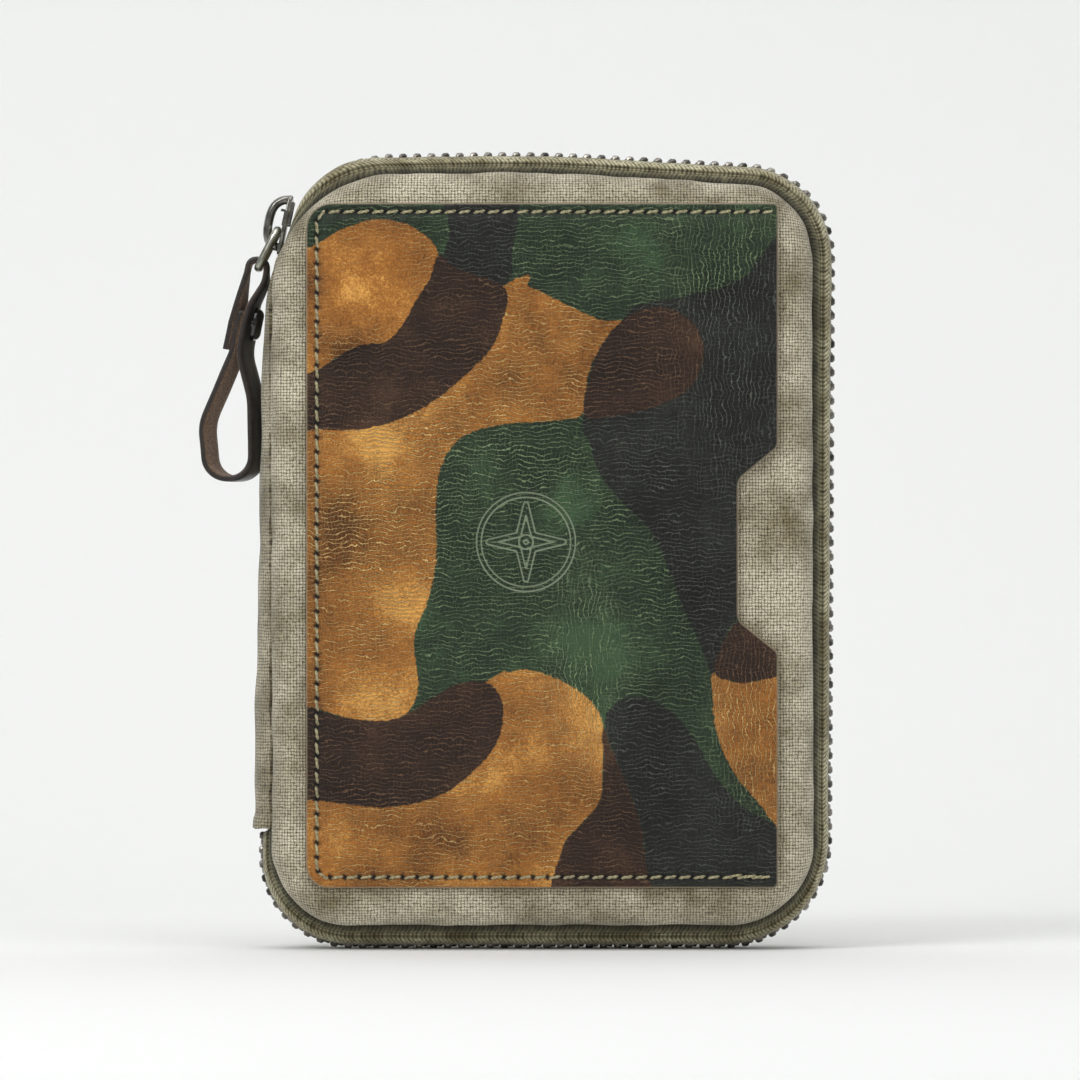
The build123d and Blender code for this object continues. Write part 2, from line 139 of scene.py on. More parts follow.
def woven(name, light, mid, dark, dust, yarn=YARN):
    """Plain weave on the piece's UV map, in metres: yarns over and under, with painted shade where they dip
    between crossings, slubs and faded patches.
    """
    cloth = finish(name, 0.9, Sheen_Weight=0.25, Sheen_Roughness=0.5)
    uv = node(cloth, "ShaderNodeUVMap", uv_map="UVMap")
    laid = node(cloth, "ShaderNodeVectorMath", {1: (1 / (yarn * MM),) * 3}, {0: uv},
                operation="MULTIPLY")
    drift = node(cloth, "ShaderNodeTexNoise", {"Scale": 0.3, "Detail": 3.0}, {"Vector": laid})
    even = node(cloth, "ShaderNodeVectorMath", {1: (0.5,) * 3}, {0: (drift, 1)}, operation="SUBTRACT")
    small = node(cloth, "ShaderNodeVectorMath", {"Scale": 0.8}, {0: even}, operation="SCALE")
    place = node(cloth, "ShaderNodeVectorMath", (), {0: laid, 1: small}, operation="ADD")
    axes = node(cloth, "ShaderNodeSeparateXYZ", (), {0: place})
    waves, crowns = [], []
    for axis in (0, 1):
        turned = node(cloth, "ShaderNodeMath", {1: math.pi}, {0: (axes, axis)}, operation="MULTIPLY")
        waves.append(node(cloth, "ShaderNodeMath", (), {0: turned}, operation="SINE"))
        crowns.append(node(cloth, "ShaderNodeMath", (), {0: waves[-1]}, operation="ABSOLUTE"))
    over = node(cloth, "ShaderNodeMath", (), {0: waves[0], 1: waves[1]}, operation="MULTIPLY")
    which = node(cloth, "ShaderNodeMath", {1: 0.0}, {0: over}, operation="GREATER_THAN")
    yarns = []
    for across, along in ((0, 1), (1, 0)):
        bend = node(cloth, "ShaderNodeMath", {1: 0.35}, {0: crowns[along]}, operation="POWER")
        yarns.append(node(cloth, "ShaderNodeMath", (), {0: crowns[across], 1: bend}, operation="MULTIPLY"))
    height = node(cloth, "ShaderNodeMix", (), {0: which, 2: yarns[1], 3: yarns[0]})
    slub = node(cloth, "ShaderNodeTexNoise", {"Scale": 0.9, "Detail": 4.0, "Roughness": 0.6},
                {"Vector": place})
    fade = node(cloth, "ShaderNodeTexNoise", {"Scale": 0.04, "Detail": 7.0, "Roughness": 0.62},
                {"Vector": laid})
    # painted shade: the yarns' colour follows their height, darkened in the hollows between crossings where
    # shade would fall
    shade = node(cloth, "ShaderNodeMath", {1: 0.55}, {0: height, 2: slub}, operation="MULTIPLY_ADD")
    yarn_colour_and_gap_shade = node(cloth, "ShaderNodeValToRGB", (), {0: shade},
                     [(0.44, dark), (1.0, light), (0.72, mid)])
    patch = node(cloth, "ShaderNodeValToRGB", (), {0: fade}, [(0.36, dust), (0.60, "#ffffff")])
    node(cloth, "ShaderNodeMix", {0: 1.0}, {6: yarn_colour_and_gap_shade, 7: patch}, to="Base Color",
         data_type="RGBA", blend_type="MULTIPLY")
    rough = node(cloth, "ShaderNodeBump", {"Distance": 0.00012, "Strength": 0.6}, {"Height": slub})
    node(cloth, "ShaderNodeBump", {"Distance": 0.00022, "Strength": 0.9},
         {"Height": (height, 0), "Normal": rough}, to="Normal")
    return cloth


def skin(rows, count, closed=True, caps=False):
    """Faces over rows of count points; closed joins each row's ends, caps fills the first and last row."""
    faces = [(k * count + i, k * count + (i + 1) % count, (k + 1) * count + (i + 1) % count,
              (k + 1) * count + i) for k in range(rows - 1) for i in range(count if closed else count - 1)]
    if caps:
        faces += [tuple(range(count))[::-1], tuple(range((rows - 1) * count, rows * count))]
    return faces


def piece(name, verts, faces, material, uv=None, marks=None):
    """Smooth mesh object at the origin: verts in millimetres, uv and float marks for each vertex."""
    mesh = bpy.data.meshes.new(name)
    mesh.from_pydata((np.asarray(verts, float) * MM).tolist(), [], [list(map(int, f)) for f in faces])
    corner = np.empty(len(mesh.loops), dtype=np.int32)
    mesh.loops.foreach_get("vertex_index", corner)
    if uv is not None:
        layer = mesh.uv_layers.new(name="UVMap")
        layer.data.foreach_set("uv", np.asarray(uv, np.float32)[corner].ravel())
    for key, values in (marks or {}).items():
        layer = mesh.attributes.new(key, "FLOAT", "POINT")
        layer.data.foreach_set("value", np.asarray(values, np.float32))
    mesh.shade_smooth()
    mesh.materials.append(material)
    made = bpy.data.objects.new(name, mesh)
    bpy.context.scene.collection.objects.link(made)
    return made


def settled(made):
    """The piece with its modifiers' result as its plain mesh."""
    graph = bpy.context.evaluated_depsgraph_get()
    plain = bpy.data.meshes.new_from_object(made.evaluated_get(graph), preserve_all_data_layers=True,
                                            depsgraph=graph)
    made.modifiers.clear()
    made.data = plain
    return made


def thicken(made, thickness, offset=-1.0):
    """Gives an open sheet its thickness, in millimetres, closed at its edges."""
    wall = made.modifiers.new("thickness", "SOLIDIFY")
    wall.thickness = thickness * MM
    wall.offset = offset
    return settled(made)


def fill(outline, spots):
    """Triangles over a closed outline with extra points inside, as points and faces."""
    points = [Vector(p) for p in outline] + [Vector(p) for p in spots]
    found = delaunay_2d_cdt(points, [], [list(range(len(outline)))], 1, 1e-7)
    return [(v.x, v.y) for v in found[0]], found[2]


def gap_to(points, line, closed=True):
    """For each point: its distance to a line, how far along the nearest place is, and if it is inside."""
    x, z = np.asarray(points, float).T
    line = np.asarray(line, float)
    after = np.roll(line, -1, 0) if closed else line[1:]
    best, along, within, done = np.full(len(x), 1e9), np.zeros(len(x)), np.zeros(len(x), bool), 0.0
    for (ax, az), (bx, bz) in zip(line, after):
        dx, dz = bx - ax, bz - az
        size = math.hypot(dx, dz)
        share = np.clip(((x - ax) * dx + (z - az) * dz) / (size * size + 1e-12), 0, 1)
        gap = np.hypot(x - ax - share * dx, z - az - share * dz)
        along = np.where(gap < best, done + share * size, along)
        best = np.minimum(best, gap)
        within ^= ((az > z) != (bz > z)) & (x < dx * (z - az) / (dz + 1e-12) + ax)
        done += size
    return best, along, within


def lattice(left, right, low, high, step):
    """A square lattice of places."""
    return np.array([(x, z) for x in np.arange(left, right, step) for z in np.arange(low, high, step)])


canvas = woven("washed_khaki_duck_canvas", "#e9e1c9", "#b0a68b", "#463f2f", "#a19b86")
rim, rim_out = rounded(SEAM, SEAM_R)
# The edge of the cover in section: mm inside the seam line, depth from the middle, cloth from the seam.
SECTION = [(1.0, 8.1, 0.0), (0.35, 8.7, 0.8), (0.0, 9.6, 1.7), (0.05, 10.6, 2.7), (0.35, 11.7, 3.9),
           (0.95, 12.8, 5.1), (1.75, 13.7, 6.3), (2.75, 14.35, 7.5), (3.9, 14.75, 8.7), (5.1, 14.95, 9.9),
           (6.3, 15.0, 11.1)]
CLOTH_T = 0.9            # the shell's thickness
FACE_STEP = 2.6          # from one point to the next across the flat face
FACE_Y = 15.0            # depth of the flat face
FACE_X, FACE_Z = (-47.0, 48.0), (11.0, 149.0)
# Lengths of the puckers at the seam, the waves of the edge and the swells of the face.
PUCKER, WAVE, SWELL = 4.6, 15.0, 24.0


def cover(name, side, seed):
    """Canvas shell of one cover; side is -1 at the front and 1 at the back."""
    count, last = len(rim), (len(SECTION) - 1) * len(rim)
    tuck = wavy([(x, z, seed) for x, z in rim], PUCKER, seed)
    slow = wavy([(x, z, seed) for x, z in rim], WAVE, seed + 2)
    verts, uv = [], []
    for inset, depth, length in SECTION:
        pull = math.exp(-((length - 1.6) / 2.6) ** 2)
        sway = math.exp(-((length - 5.0) / 4.2) ** 2)
        ring = rim - rim_out * (inset + 0.26 * tuck * pull + 0.40 * slow * sway)[:, None]
        verts += [(x, side * y, z) for (x, z), y in zip(ring, depth + 0.25 * tuck * sway)]
        uv += [(x * MM, z * MM) for x, z in rim + rim_out * (SECTION[-1][2] - length - SECTION[-1][0])]
    faces = skin(len(SECTION), count)
    border = [(verts[last + i][0], verts[last + i][2]) for i in range(count)]
    spots = lattice(*FACE_X, *FACE_Z, FACE_STEP)
    gap, _, within = gap_to(spots, border)
    flat, triangles = fill(border, spots[within & (gap > 0.8 * FACE_STEP)])
    lookup = list(range(last, last + count)) + list(range(len(verts), len(verts) + len(flat) - count))
    for x, z in flat[count:]:
        verts.append((x, side * FACE_Y, z))
        uv.append((x * MM, z * MM))
    faces += [tuple(lookup[i] for i in t) for t in triangles]
    if side > 0:
        faces = [f[::-1] for f in faces]
    verts = np.array(verts)
    high = np.clip((np.abs(verts[:, 1]) - 13.5) / 1.5, 0, 1)
    verts[:, 1] += side * high * (0.25 * wavy(verts * (1, 0, 1), SWELL, seed + 4) - 0.1)
    return thicken(piece(name, verts, faces, canvas, uv), CLOTH_T)


front_cover_canvas = cover("front_cover_canvas", -1, 1)
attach(front_cover_canvas, "front_cover")
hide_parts("front_canvas")

back_cover_canvas = cover("back_cover_canvas", 1, 7)
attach(back_cover_canvas, "back_cover")
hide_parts("back_canvas")

# ---- foam, boards and lining -----------------------------------------------------------------
# Inside each cover: grey closed-cell foam, a brown fibre board, and an olive nylon lining whose edge
# is bound to the zip with grosgrain tape. They are flat, die-cut pieces, so their own meshes stay.
foam = finish("closed_cell_foam", 0.95)
where = node(foam, "ShaderNodeTexCoord")
cells = node(foam, "ShaderNodeTexVoronoi", {"Scale": 2200.0}, {"Vector": (where, 3)})
node(foam, "ShaderNodeValToRGB", (), {0: cells}, [(0.0, "#2c2d2e"), (0.8, "#4b4c4d")], to="Base Color")
node(foam, "ShaderNodeBump", {"Distance": 0.0001}, {"Height": cells}, to="Normal")


def speckled(name, roughness, grain, colours, shine=(), bump=None, **sockets):
    """A finish mottled by fine noise. grain is its scale and detail, colours and shine are ramps for the
    colour and the roughness, and bump is the relief's depth in metres and its strength."""
    made = finish(name, roughness, **sockets)
    at = node(made, "ShaderNodeTexCoord")
    spots = node(made, "ShaderNodeTexNoise", {"Scale": grain[0], "Detail": grain[1]}, {"Vector": (at, 3)})
    node(made, "ShaderNodeValToRGB", (), {0: spots}, colours, to="Base Color")
    if shine:
        node(made, "ShaderNodeValToRGB", (), {0: spots}, shine, to="Roughness")
    if bump:
        node(made, "ShaderNodeBump", {"Distance": bump[0], "Strength": bump[1]}, {"Height": spots},
             to="Normal")
    return made


board = speckled("fibre_board", 0.85, (900.0, 6.0), [(0.3, "#6b5238"), (0.7, "#93765a")],
                 bump=(0.00008, 1.0))

lining = finish("olive_nylon_lining", 0.5, Sheen_Weight=0.3)
where = node(lining, "ShaderNodeTexCoord")
ribs = [node(lining, "ShaderNodeTexWave", {"Scale": 350.0, "Distortion": 0.4}, {"Vector": (where, 3)},
             bands_direction=way) for way in ("X", "Z")]
weave = node(lining, "ShaderNodeMath", (), {0: (ribs[0], 1), 1: (ribs[1], 1)}, operation="MULTIPLY")
node(lining, "ShaderNodeValToRGB", (), {0: weave}, [(0.0, "#34342a"), (0.7, "#5a5a48")], to="Base Color")
node(lining, "ShaderNodeBump", {"Distance": 0.0001, "Strength": 0.7}, {"Height": weave}, to="Normal")

grosgrain = speckled("black_olive_grosgrain", 0.7, (1500.0, 2.0), [(0.35, "#22231b"), (0.7, "#45463a")],
                     bump=(0.0001, 0.7), Sheen_Weight=0.25)


def repaint(cad_node, material):
    """Gives a CAD node its finish."""
    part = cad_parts[cad_node]
    if not part.material_slots:
        part.data.materials.append(material)
    for place in part.material_slots:
        place.material = material


for half in ("front", "back"):
    repaint(f"{half}_foam", foam)
    repaint(f"{half}_board", board)
    repaint(f"{half}_lining", lining)
    repaint(f"{half}_seam_binding", grosgrain)
repaint("spine_lining", lining)

# ---- zip tapes -------------------------------------------------------------------------------
# Woven olive cotton zip tape, sewn under each cover's edge and curling out to the teeth. Its outer
# half is a pale ribbed band with a raised cord; towards the cover it is dark, partly with dirt and partly
# with painted shade for the shadow in the groove.
EDGE = [(-56.9, 0.7), (57.6, 0.7), (58.4, 156.2), (0.0, 159.5), (-50.0, 158.7)]
EDGE_R = [18.0, 21.0, 18.0, 300.0, 17.5]
TAPE_T = 0.7
BAND = 0.008             # metres of the UV map from the tape's seam to its outer edge
CHEVRON, RIB = 0.0018, 0.00085           # metres: half a herringbone's width, and from rib to rib
SPINE_LOW, SPINE_TOP = 24.5, 131.0
tape = finish("herringbone_zip_tape", 0.85, Sheen_Weight=0.2)
uv = node(tape, "ShaderNodeUVMap", uv_map="UVMap")
axes = node(tape, "ShaderNodeSeparateXYZ", (), {0: uv})
across = node(tape, "ShaderNodeMath", {1: 1 / BAND}, {0: (axes, 1)}, operation="MULTIPLY")
fold = node(tape, "ShaderNodeMath", {1: 1 / CHEVRON}, {0: (axes, 1)}, operation="MULTIPLY")
zig = node(tape, "ShaderNodeMath", {1: 1.0}, {0: fold}, operation="PINGPONG")
slant = node(tape, "ShaderNodeMath", {1: 1 / RIB}, {0: (axes, 0)}, operation="MULTIPLY")
rib_at = node(tape, "ShaderNodeMath", {1: 1.1}, {0: zig, 2: slant}, operation="MULTIPLY_ADD")
turned = node(tape, "ShaderNodeMath", {1: 2 * math.pi}, {0: rib_at}, operation="MULTIPLY")
rib = node(tape, "ShaderNodeMath", (), {0: turned}, operation="SINE")
mottle = node(tape, "ShaderNodeTexNoise", {"Scale": 900.0, "Detail": 4.0}, {"Vector": uv})
dirt = node(tape, "ShaderNodeTexNoise", {"Scale": 120.0, "Detail": 3.0}, {"Vector": uv})
# partly painted shade: the dark stops towards the seam stand for the shadow in the groove under the cover's
# edge
tape_colour_and_groove_shade = node(tape, "ShaderNodeValToRGB", (), {0: across},
            [(0.0, "#37342a"), (1.0, "#5a563f"), (0.10, "#6b674b"), (0.18, "#8f8a67"), (0.23, "#5b573f"),
             (0.28, "#c6c09e"), (0.66, "#cbc5a4"), (0.84, "#a09b79")])
tone = node(tape, "ShaderNodeMath", {1: 0.16}, {0: rib, 2: mottle}, operation="MULTIPLY_ADD")
speck = node(tape, "ShaderNodeValToRGB", (), {0: tone}, [(0.30, "#77725a"), (0.66, "#ffffff")])
tape_mottle_and_groove_shade = node(tape, "ShaderNodeMix", {0: 1.0}, {6: tape_colour_and_groove_shade, 7: speck}, data_type="RGBA",
            blend_type="MULTIPLY")
smut = node(tape, "ShaderNodeValToRGB", (), {0: dirt}, [(0.35, "#b5ae96"), (0.6, "#ffffff")])
node(tape, "ShaderNodeMix", {0: 1.0}, {6: (tape_mottle_and_groove_shade, 2), 7: smut}, to="Base Color", data_type="RGBA",
     blend_type="MULTIPLY")
node(tape, "ShaderNodeBump", {"Distance": 0.00014, "Strength": 0.8}, {"Height": tone}, to="Normal")

edge, edge_out = rounded(EDGE, EDGE_R)
# The tape in section, as (share of the way from the seam to its outer edge, depth).
TAPE_SECTION = [(0.0, 8.6), (0.16, 8.35), (0.30, 8.0), (0.42, 7.3), (0.50, 6.6), (0.58, 6.9), (0.68, 6.75),
                (0.80, 6.1), (0.90, 5.1), (0.97, 4.1), (1.0, 3.2), (1.01, 2.3), (1.0, 1.4)]


def in_fold(point):
    """Whether a place on the outline is on the long run that the canvas spine covers."""
    return point[0] < -50.5 and SPINE_LOW - 0.6 < point[1] < SPINE_TOP + 0.6


def open_run():
    """The outline's places from under the spine's hem round to the zip's top end, in order."""
    count = len(edge)
    first = next(i for i in range(count) if in_fold(edge[i - 1]) and not in_fold(edge[i]))
    return [(first + k) % count for k in range(count) if not in_fold(edge[(first + k) % count])]


def zip_tape(name, side, seed):
    """One side's tape, sewn in under the cover's edge."""
    order = open_run()
    run = np.concatenate([[0], np.cumsum(np.hypot(*np.diff(edge[order], axis=0).T))])
    seam_y, edge_y = TAPE_SECTION[0][1], TAPE_SECTION[-1][1]
    verts, uv = [], []
    ripple = wavy([(*edge[i], seed) for i in order], 6.0, seed)
    for share, depth in TAPE_SECTION:
        inner = rim[order] - rim_out[order] * 0.3
        ring = inner + (edge[order] - inner) * share + edge_out[order] * (0.16 * ripple * share)[:, None]
        verts += [(x, side * (depth + 0.12 * r), z) for (x, z), r in zip(ring, ripple)]
        uv += [(r * MM, BAND * (seam_y - depth) / (seam_y - edge_y)) for r in run]
    faces = skin(len(TAPE_SECTION), len(order), closed=False)
    if side < 0:
        faces = [f[::-1] for f in faces]
    return thicken(piece(name, verts, faces, tape, uv), TAPE_T)


for half, side, seed in (("front", -1, 3), ("back", 1, 5)):
    made = zip_tape(f"zip_tape_{half}_woven", side, seed)
    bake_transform(made)
    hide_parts(f"zip_tape_{half}", f"tape_end_top_{half}", f"tape_end_low_{half}")

# ---- zip teeth -------------------------------------------------------------------------------
# Pressed brass teeth with a dark, rubbed gunmetal plating, each clamped over the tape's cord. The two
# rows stand half a pitch apart.
TOOTH_PITCH = 2.84
gunmetal = speckled("dark_gunmetal_plated_brass", 0.3, (350.0, 5.0), [(0.35, "#3c3b38"), (0.72, "#98938a")],
                    [(0.3, 0.42), (0.7, 0.22)], (0.00003, 0.5), Metallic=1.0)


def open_path(name, points):
    """Poly curve through points in millimetres."""
    line = bpy.data.curves.new(name, "CURVE")
    line.dimensions = "3D"
    spline = line.splines.new("POLY")
    spline.points.add(len(points) - 1)
    for place, point in zip(spline.points, points):
        place.co = (*[c * MM for c in point], 1)
    made = bpy.data.objects.new(name, line)
    bpy.context.scene.collection.objects.link(made)
    return made


def teeth_line():
    """Where the teeth stand: at the tape's edge, drawn in towards the slider."""
    order = open_run()
    x, z = edge[order].T
    drawn_in = 1.1 * np.clip((-31.0 - x) / 9.0, 0, 1) * (z > SPINE_TOP - 1.0)
    line = edge[order] - edge_out[order] * drawn_in[:, None]
    return [(x, 0.0, z) for x, z in line]


def tooth_mesh(name, side):
    """One tooth, x along the zip, y to the back and z inwards, with a rounded, waisted head."""
    # Rings from the jaws to the tip: half width along the zip, depth in y, and how far out its foot
    # and its head are from the tape's edge. The back row stands a little lower.
    top = 0.80 if side < 0 else 0.58
    rings = [(0.50, 3.35, -1.0, top - 0.5), (0.72, 3.15, -1.2, top - 0.16), (0.80, 2.6, -1.4, top),
             (0.80, 1.6, -1.4, top), (0.68, 0.6, -1.35, top - 0.12), (0.48, -0.15, -1.1, top - 0.4)]
    chamfer = 0.36
    verts = []
    for half, y, low, high in rings:
        verts += [(-half, side * y, low), (-half, side * y, high - chamfer),
                  (-half + chamfer, side * y, high), (half - chamfer, side * y, high),
                  (half, side * y, high - chamfer), (half, side * y, low)]
    verts = [(-x, y, -z) for x, y, z in verts]
    faces = skin(len(rings), len(verts) // len(rings), caps=True)
    if side > 0:
        faces = [f[::-1] for f in faces]
    made = piece(name, verts, faces, gunmetal)
    made.data.shade_flat()
    return made


def repeat_along(name, path, shape, material, spacing, phase):
    """Geometry Nodes: the shape at each spacing along the path, its x along it and its y to the back."""
    tree = bpy.data.node_groups.new(name, "GeometryNodeTree")
    for label, kind in (("Path", "NodeSocketGeometry"), ("Spacing", "NodeSocketFloat"),
                        ("First", "NodeSocketFloat")):
        tree.interface.new_socket(label, in_out="INPUT", socket_type=kind)
    tree.interface.new_socket("Result", in_out="OUTPUT", socket_type="NodeSocketGeometry")
    add, link = tree.nodes.new, tree.links.new
    inputs, outputs = add("NodeGroupInput"), add("NodeGroupOutput")
    trim = add("GeometryNodeTrimCurve")
    trim.mode = "LENGTH"
    length = add("GeometryNodeCurveLength")
    to_points = add("GeometryNodeCurveToPoints")
    to_points.mode = "LENGTH"
    turn = add("FunctionNodeAxesToRotation")
    turn.primary_axis, turn.secondary_axis = "Y", "X"
    turn.inputs[0].default_value = (0, 1, 0)
    source = add("GeometryNodeObjectInfo")
    source.inputs["Object"].default_value = shape
    place = add("GeometryNodeInstanceOnPoints")
    real = add("GeometryNodeRealizeInstances")
    paint = add("GeometryNodeSetMaterial")
    paint.inputs["Material"].default_value = material
    link(inputs.outputs["Path"], trim.inputs["Curve"])
    link(inputs.outputs["Path"], length.inputs[0])
    link(inputs.outputs["First"], trim.inputs[4])
    link(length.outputs[0], trim.inputs[5])
    link(trim.outputs[0], to_points.inputs["Curve"])
    link(inputs.outputs["Spacing"], to_points.inputs["Length"])
    link(to_points.outputs["Tangent"], turn.inputs[1])
    link(to_points.outputs["Points"], place.inputs["Points"])
    link(source.outputs["Geometry"], place.inputs["Instance"])
    link(turn.outputs[0], place.inputs["Rotation"])
    link(place.outputs[0], real.inputs[0])
    link(real.outputs[0], paint.inputs["Geometry"])
    link(paint.outputs[0], outputs.inputs[0])
    modifier = path.modifiers.new(name, "NODES")
    modifier.node_group = tree
    for item in tree.interface.items_tree:
        if item.name == "Spacing":
            modifier[item.identifier] = spacing * MM
        if item.name == "First":
            modifier[item.identifier] = phase * MM
    graph = bpy.context.evaluated_depsgraph_get()
    mesh = bpy.data.meshes.new_from_object(path.evaluated_get(graph), preserve_all_data_layers=True,
                                           depsgraph=graph)
    made = bpy.data.objects.new(name, mesh)
    bpy.context.scene.collection.objects.link(made)
    for spent in (path, shape):
        bpy.data.objects.remove(spent)
    bpy.data.node_groups.remove(tree)
    return made


FIRST_TOOTH = 0.6        # from the end under the hem
for half, side, phase in (("front", -1, FIRST_TOOTH), ("back", 1, FIRST_TOOTH + TOOTH_PITCH / 2)):
    made = repeat_along(f"zip_teeth_{half}", open_path("path", teeth_line()), tooth_mesh("tooth", side),
                        gunmetal, TOOTH_PITCH, phase)
    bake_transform(made)
    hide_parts(*[f"zip_teeth_{half}_{kind}" for kind in ("base", "run", "end_low", "end_top")])
for name in ("zip_top_stops", "zip_bottom_stop"):
    repaint(name, gunmetal)

# ---- leather slip pocket ---------------------------------------------------------------------
# One panel of waxed camouflage leather, cut raw with a thumb notch on the right, where it is open. It
# is sewn down on its other three sides, its wax has crackled, and an emblem is pressed in.
POCKET = [(-47.1, 12.5), (47.3, 12.5), (47.3, 59.7), (39.3, 66.1), (39.3, 94.1), (47.3, 100.7),
          (47.3, 149.5), (-47.1, 149.5)]
POCKET_R = [4.6, 1.0, 2.0, 3.0, 3.0, 2.0, 0.8, 5.2]
LEATHER_T, LEATHER_Y, HEM_DROP = 1.2, 16.7, 0.5
# The row of stitches ends sewn back over itself at the lower right.
STITCH_LINE = [(45.4, 147.7), (-43.4, 147.7), (-44.9, 146.2), (-44.9, 16.2), (-43.4, 14.7), (45.4, 14.7),
               (39.0, 15.05)]
STITCH_RUN = sum(math.dist(a, b) for a, b in zip(STITCH_LINE, STITCH_LINE[1:]))
STITCH_PITCH = STITCH_RUN / round(STITCH_RUN / 2.9)
PANEL_STEP, EMBLEM_STEP, ROW_STEP = 0.8, 0.36, 0.5   # from point to point: plain, and at those two
EMBLEM_AT, EMBLEM_R = (-3.1, 81.7), 9.4
STAR_TIP, STAR_WAIST, STAR_EYE = 0.80, 0.22, 0.10    # as shares of the emblem's radius
STUD_AT, STUD_R = (37.0, 72.5), 2.1                  # the round mark of a stud beneath, by the notch
EDGE_ROUND = 0.35                                    # how far in the cut edge is rounded off
BLACK = [
    [(-19.3, 153), (-5.3, 153), (-5.7, 140.1), (-7.3, 133.1), (-16.3, 135.1), (-19.7, 137.7),
     (-18.3, 144.1)],
    [(52, 141), (39.7, 134.1), (29.7, 131.1), (21.7, 129.5), (17, 127), (8.5, 107.1), (9.7, 101.1),
     (11.7, 95.1), (16.7, 89.1), (21.7, 84.1), (24.7, 78.1), (27.7, 70.1), (31.7, 61.1), (34.7, 54.1),
     (36.1, 58.1), (37.3, 64.1), (42, 67), (52, 68)],
    [(12.7, 46.5), (15.7, 50.1), (20.7, 50.5), (26.1, 47.7), (30.7, 42.1), (34.7, 35.1), (40.7, 28.5),
     (52, 21), (52, 6), (21.3, 6), (20.7, 18), (19.7, 26.1), (14.1, 40.1)]]
ORANGE = [
    [(-52, 139), (-46.1, 140.7), (-40.3, 143.9), (-33.3, 146.2), (-26.3, 144.9), (-20.9, 140.1),
     (-22.0, 134.1), (-27.0, 125.5), (-32.3, 121.0), (-39.3, 119.5), (-45.7, 115.5), (-52, 114)],
    [(-7.3, 133.1), (-2.3, 132.5), (3.7, 129.7), (11.7, 126.1), (16.1, 125.7), (12, 121), (9.3, 115.1),
     (8.5, 107.7), (3.7, 106.1), (-8.3, 105.1), (-15.9, 102.7), (-19.9, 97.1), (-21.1, 90.1),
     (-21.1, 78.1), (-22.7, 70.1), (-25.5, 62.1), (-24.7, 52.1), (-28.3, 46.5), (-36.3, 46.1),
     (-45.7, 48.5), (-52, 48.5), (-52, 104)],
    [(-11.3, 53.7), (-7.3, 55.5), (-2.3, 56.1), (3.7, 54.1), (9.7, 50.1), (12.3, 45.1), (12.3, 38.1),
     (11.7, 30.1), (7.7, 25.1), (4.1, 20.1), (2.3, 6), (-52, 6), (-52, 30)],
    [(34.1, 52.1), (34.9, 44.1), (37.7, 37.1), (42.1, 31.1), (52, 23), (52, 57.1), (43.7, 54.1),
     (38.7, 53.7), (34.5, 55.7)]]
BROWN = [
    [(-20.7, 139.1), (-17, 136.5), (-7.3, 132.5), (-7.7, 126.1), (-10.3, 120.1), (-16.3, 114.1),
     (-24.3, 108.1), (-34.3, 104.5), (-45.7, 104.1), (-52, 104), (-52, 113.5), (-44.7, 116.1), (-37, 120.8),
     (-31, 121.8), (-27.6, 125.5), (-25, 130.1), (-22.2, 134.6)],
    [(32.3, 121.1), (29.7, 126.1), (23.7, 128.7), (17.7, 127.1), (12.7, 122.1), (9.7, 115.1),
     (8.5, 107.1), (13.7, 106.7), (21.7, 108.5), (28.7, 111.7), (31.7, 116.1)],
    [(-52, 48.5), (-39.3, 46.5), (-30.3, 46.1), (-24.3, 48.9), (-17.3, 53.1), (-11.3, 53.7), (-7.9, 50.1),
     (-8.3, 43.1), (-12.3, 37.1), (-20.3, 31.1), (-31.3, 28.7), (-45.7, 30.1), (-52, 30)],
    [(12.3, 45), (12.3, 38.1), (11.7, 30.1), (7.7, 25.1), (4.1, 20.1), (2.3, 6), (21.3, 6), (20.7, 18.1),
     (19.7, 26.1), (16.7, 34.1), (13.7, 41.1)],
    [(39.3, 65.7), (36.1, 61.1), (34.5, 55.7), (38.7, 53.7), (43.7, 54.1), (52, 57.1), (52, 66),
     (46, 66)]]


def flowing(points, steps=8):
    """Smooth closed curve through the points."""
    p, made = np.array(points, float), []
    for i in range(len(p)):
        a, b, c, d = p[i - 1], p[i], p[(i + 1) % len(p)], p[(i + 2) % len(p)]
        made += [0.5 * (2 * b + (c - a) * t + (2 * a - 5 * b + 4 * c - d) * t ** 2
                        + (3 * b - a - 3 * c + d) * t ** 3) for t in np.arange(steps) / steps]
    return np.array(made)


def print_edge(points, shapes):
    """Distance to the printed colour's edge, in millimetres, negative inside it."""
    found = np.full(len(points), 1e9)
    for shape in shapes:
        gap, _, within = gap_to(points, flowing(shape))
        found = np.minimum(found, np.where(within, -gap, gap))
    return found


def emblem_gap(points):
    """Distance to the lines of a four-pointed star in a ring."""
    x, z = points[:, 0] - EMBLEM_AT[0], points[:, 1] - EMBLEM_AT[1]
    found = np.abs(np.hypot(x, z) - EMBLEM_R)
    star = [(share * EMBLEM_R * math.cos(k * math.pi / 4), share * EMBLEM_R * math.sin(k * math.pi / 4))
            for k, share in enumerate([STAR_TIP, STAR_WAIST] * 4)]
    found = np.minimum(found, gap_to(np.column_stack([x, z]), star)[0])
    return np.minimum(found, np.abs(np.hypot(x, z) - STAR_EYE * EMBLEM_R))
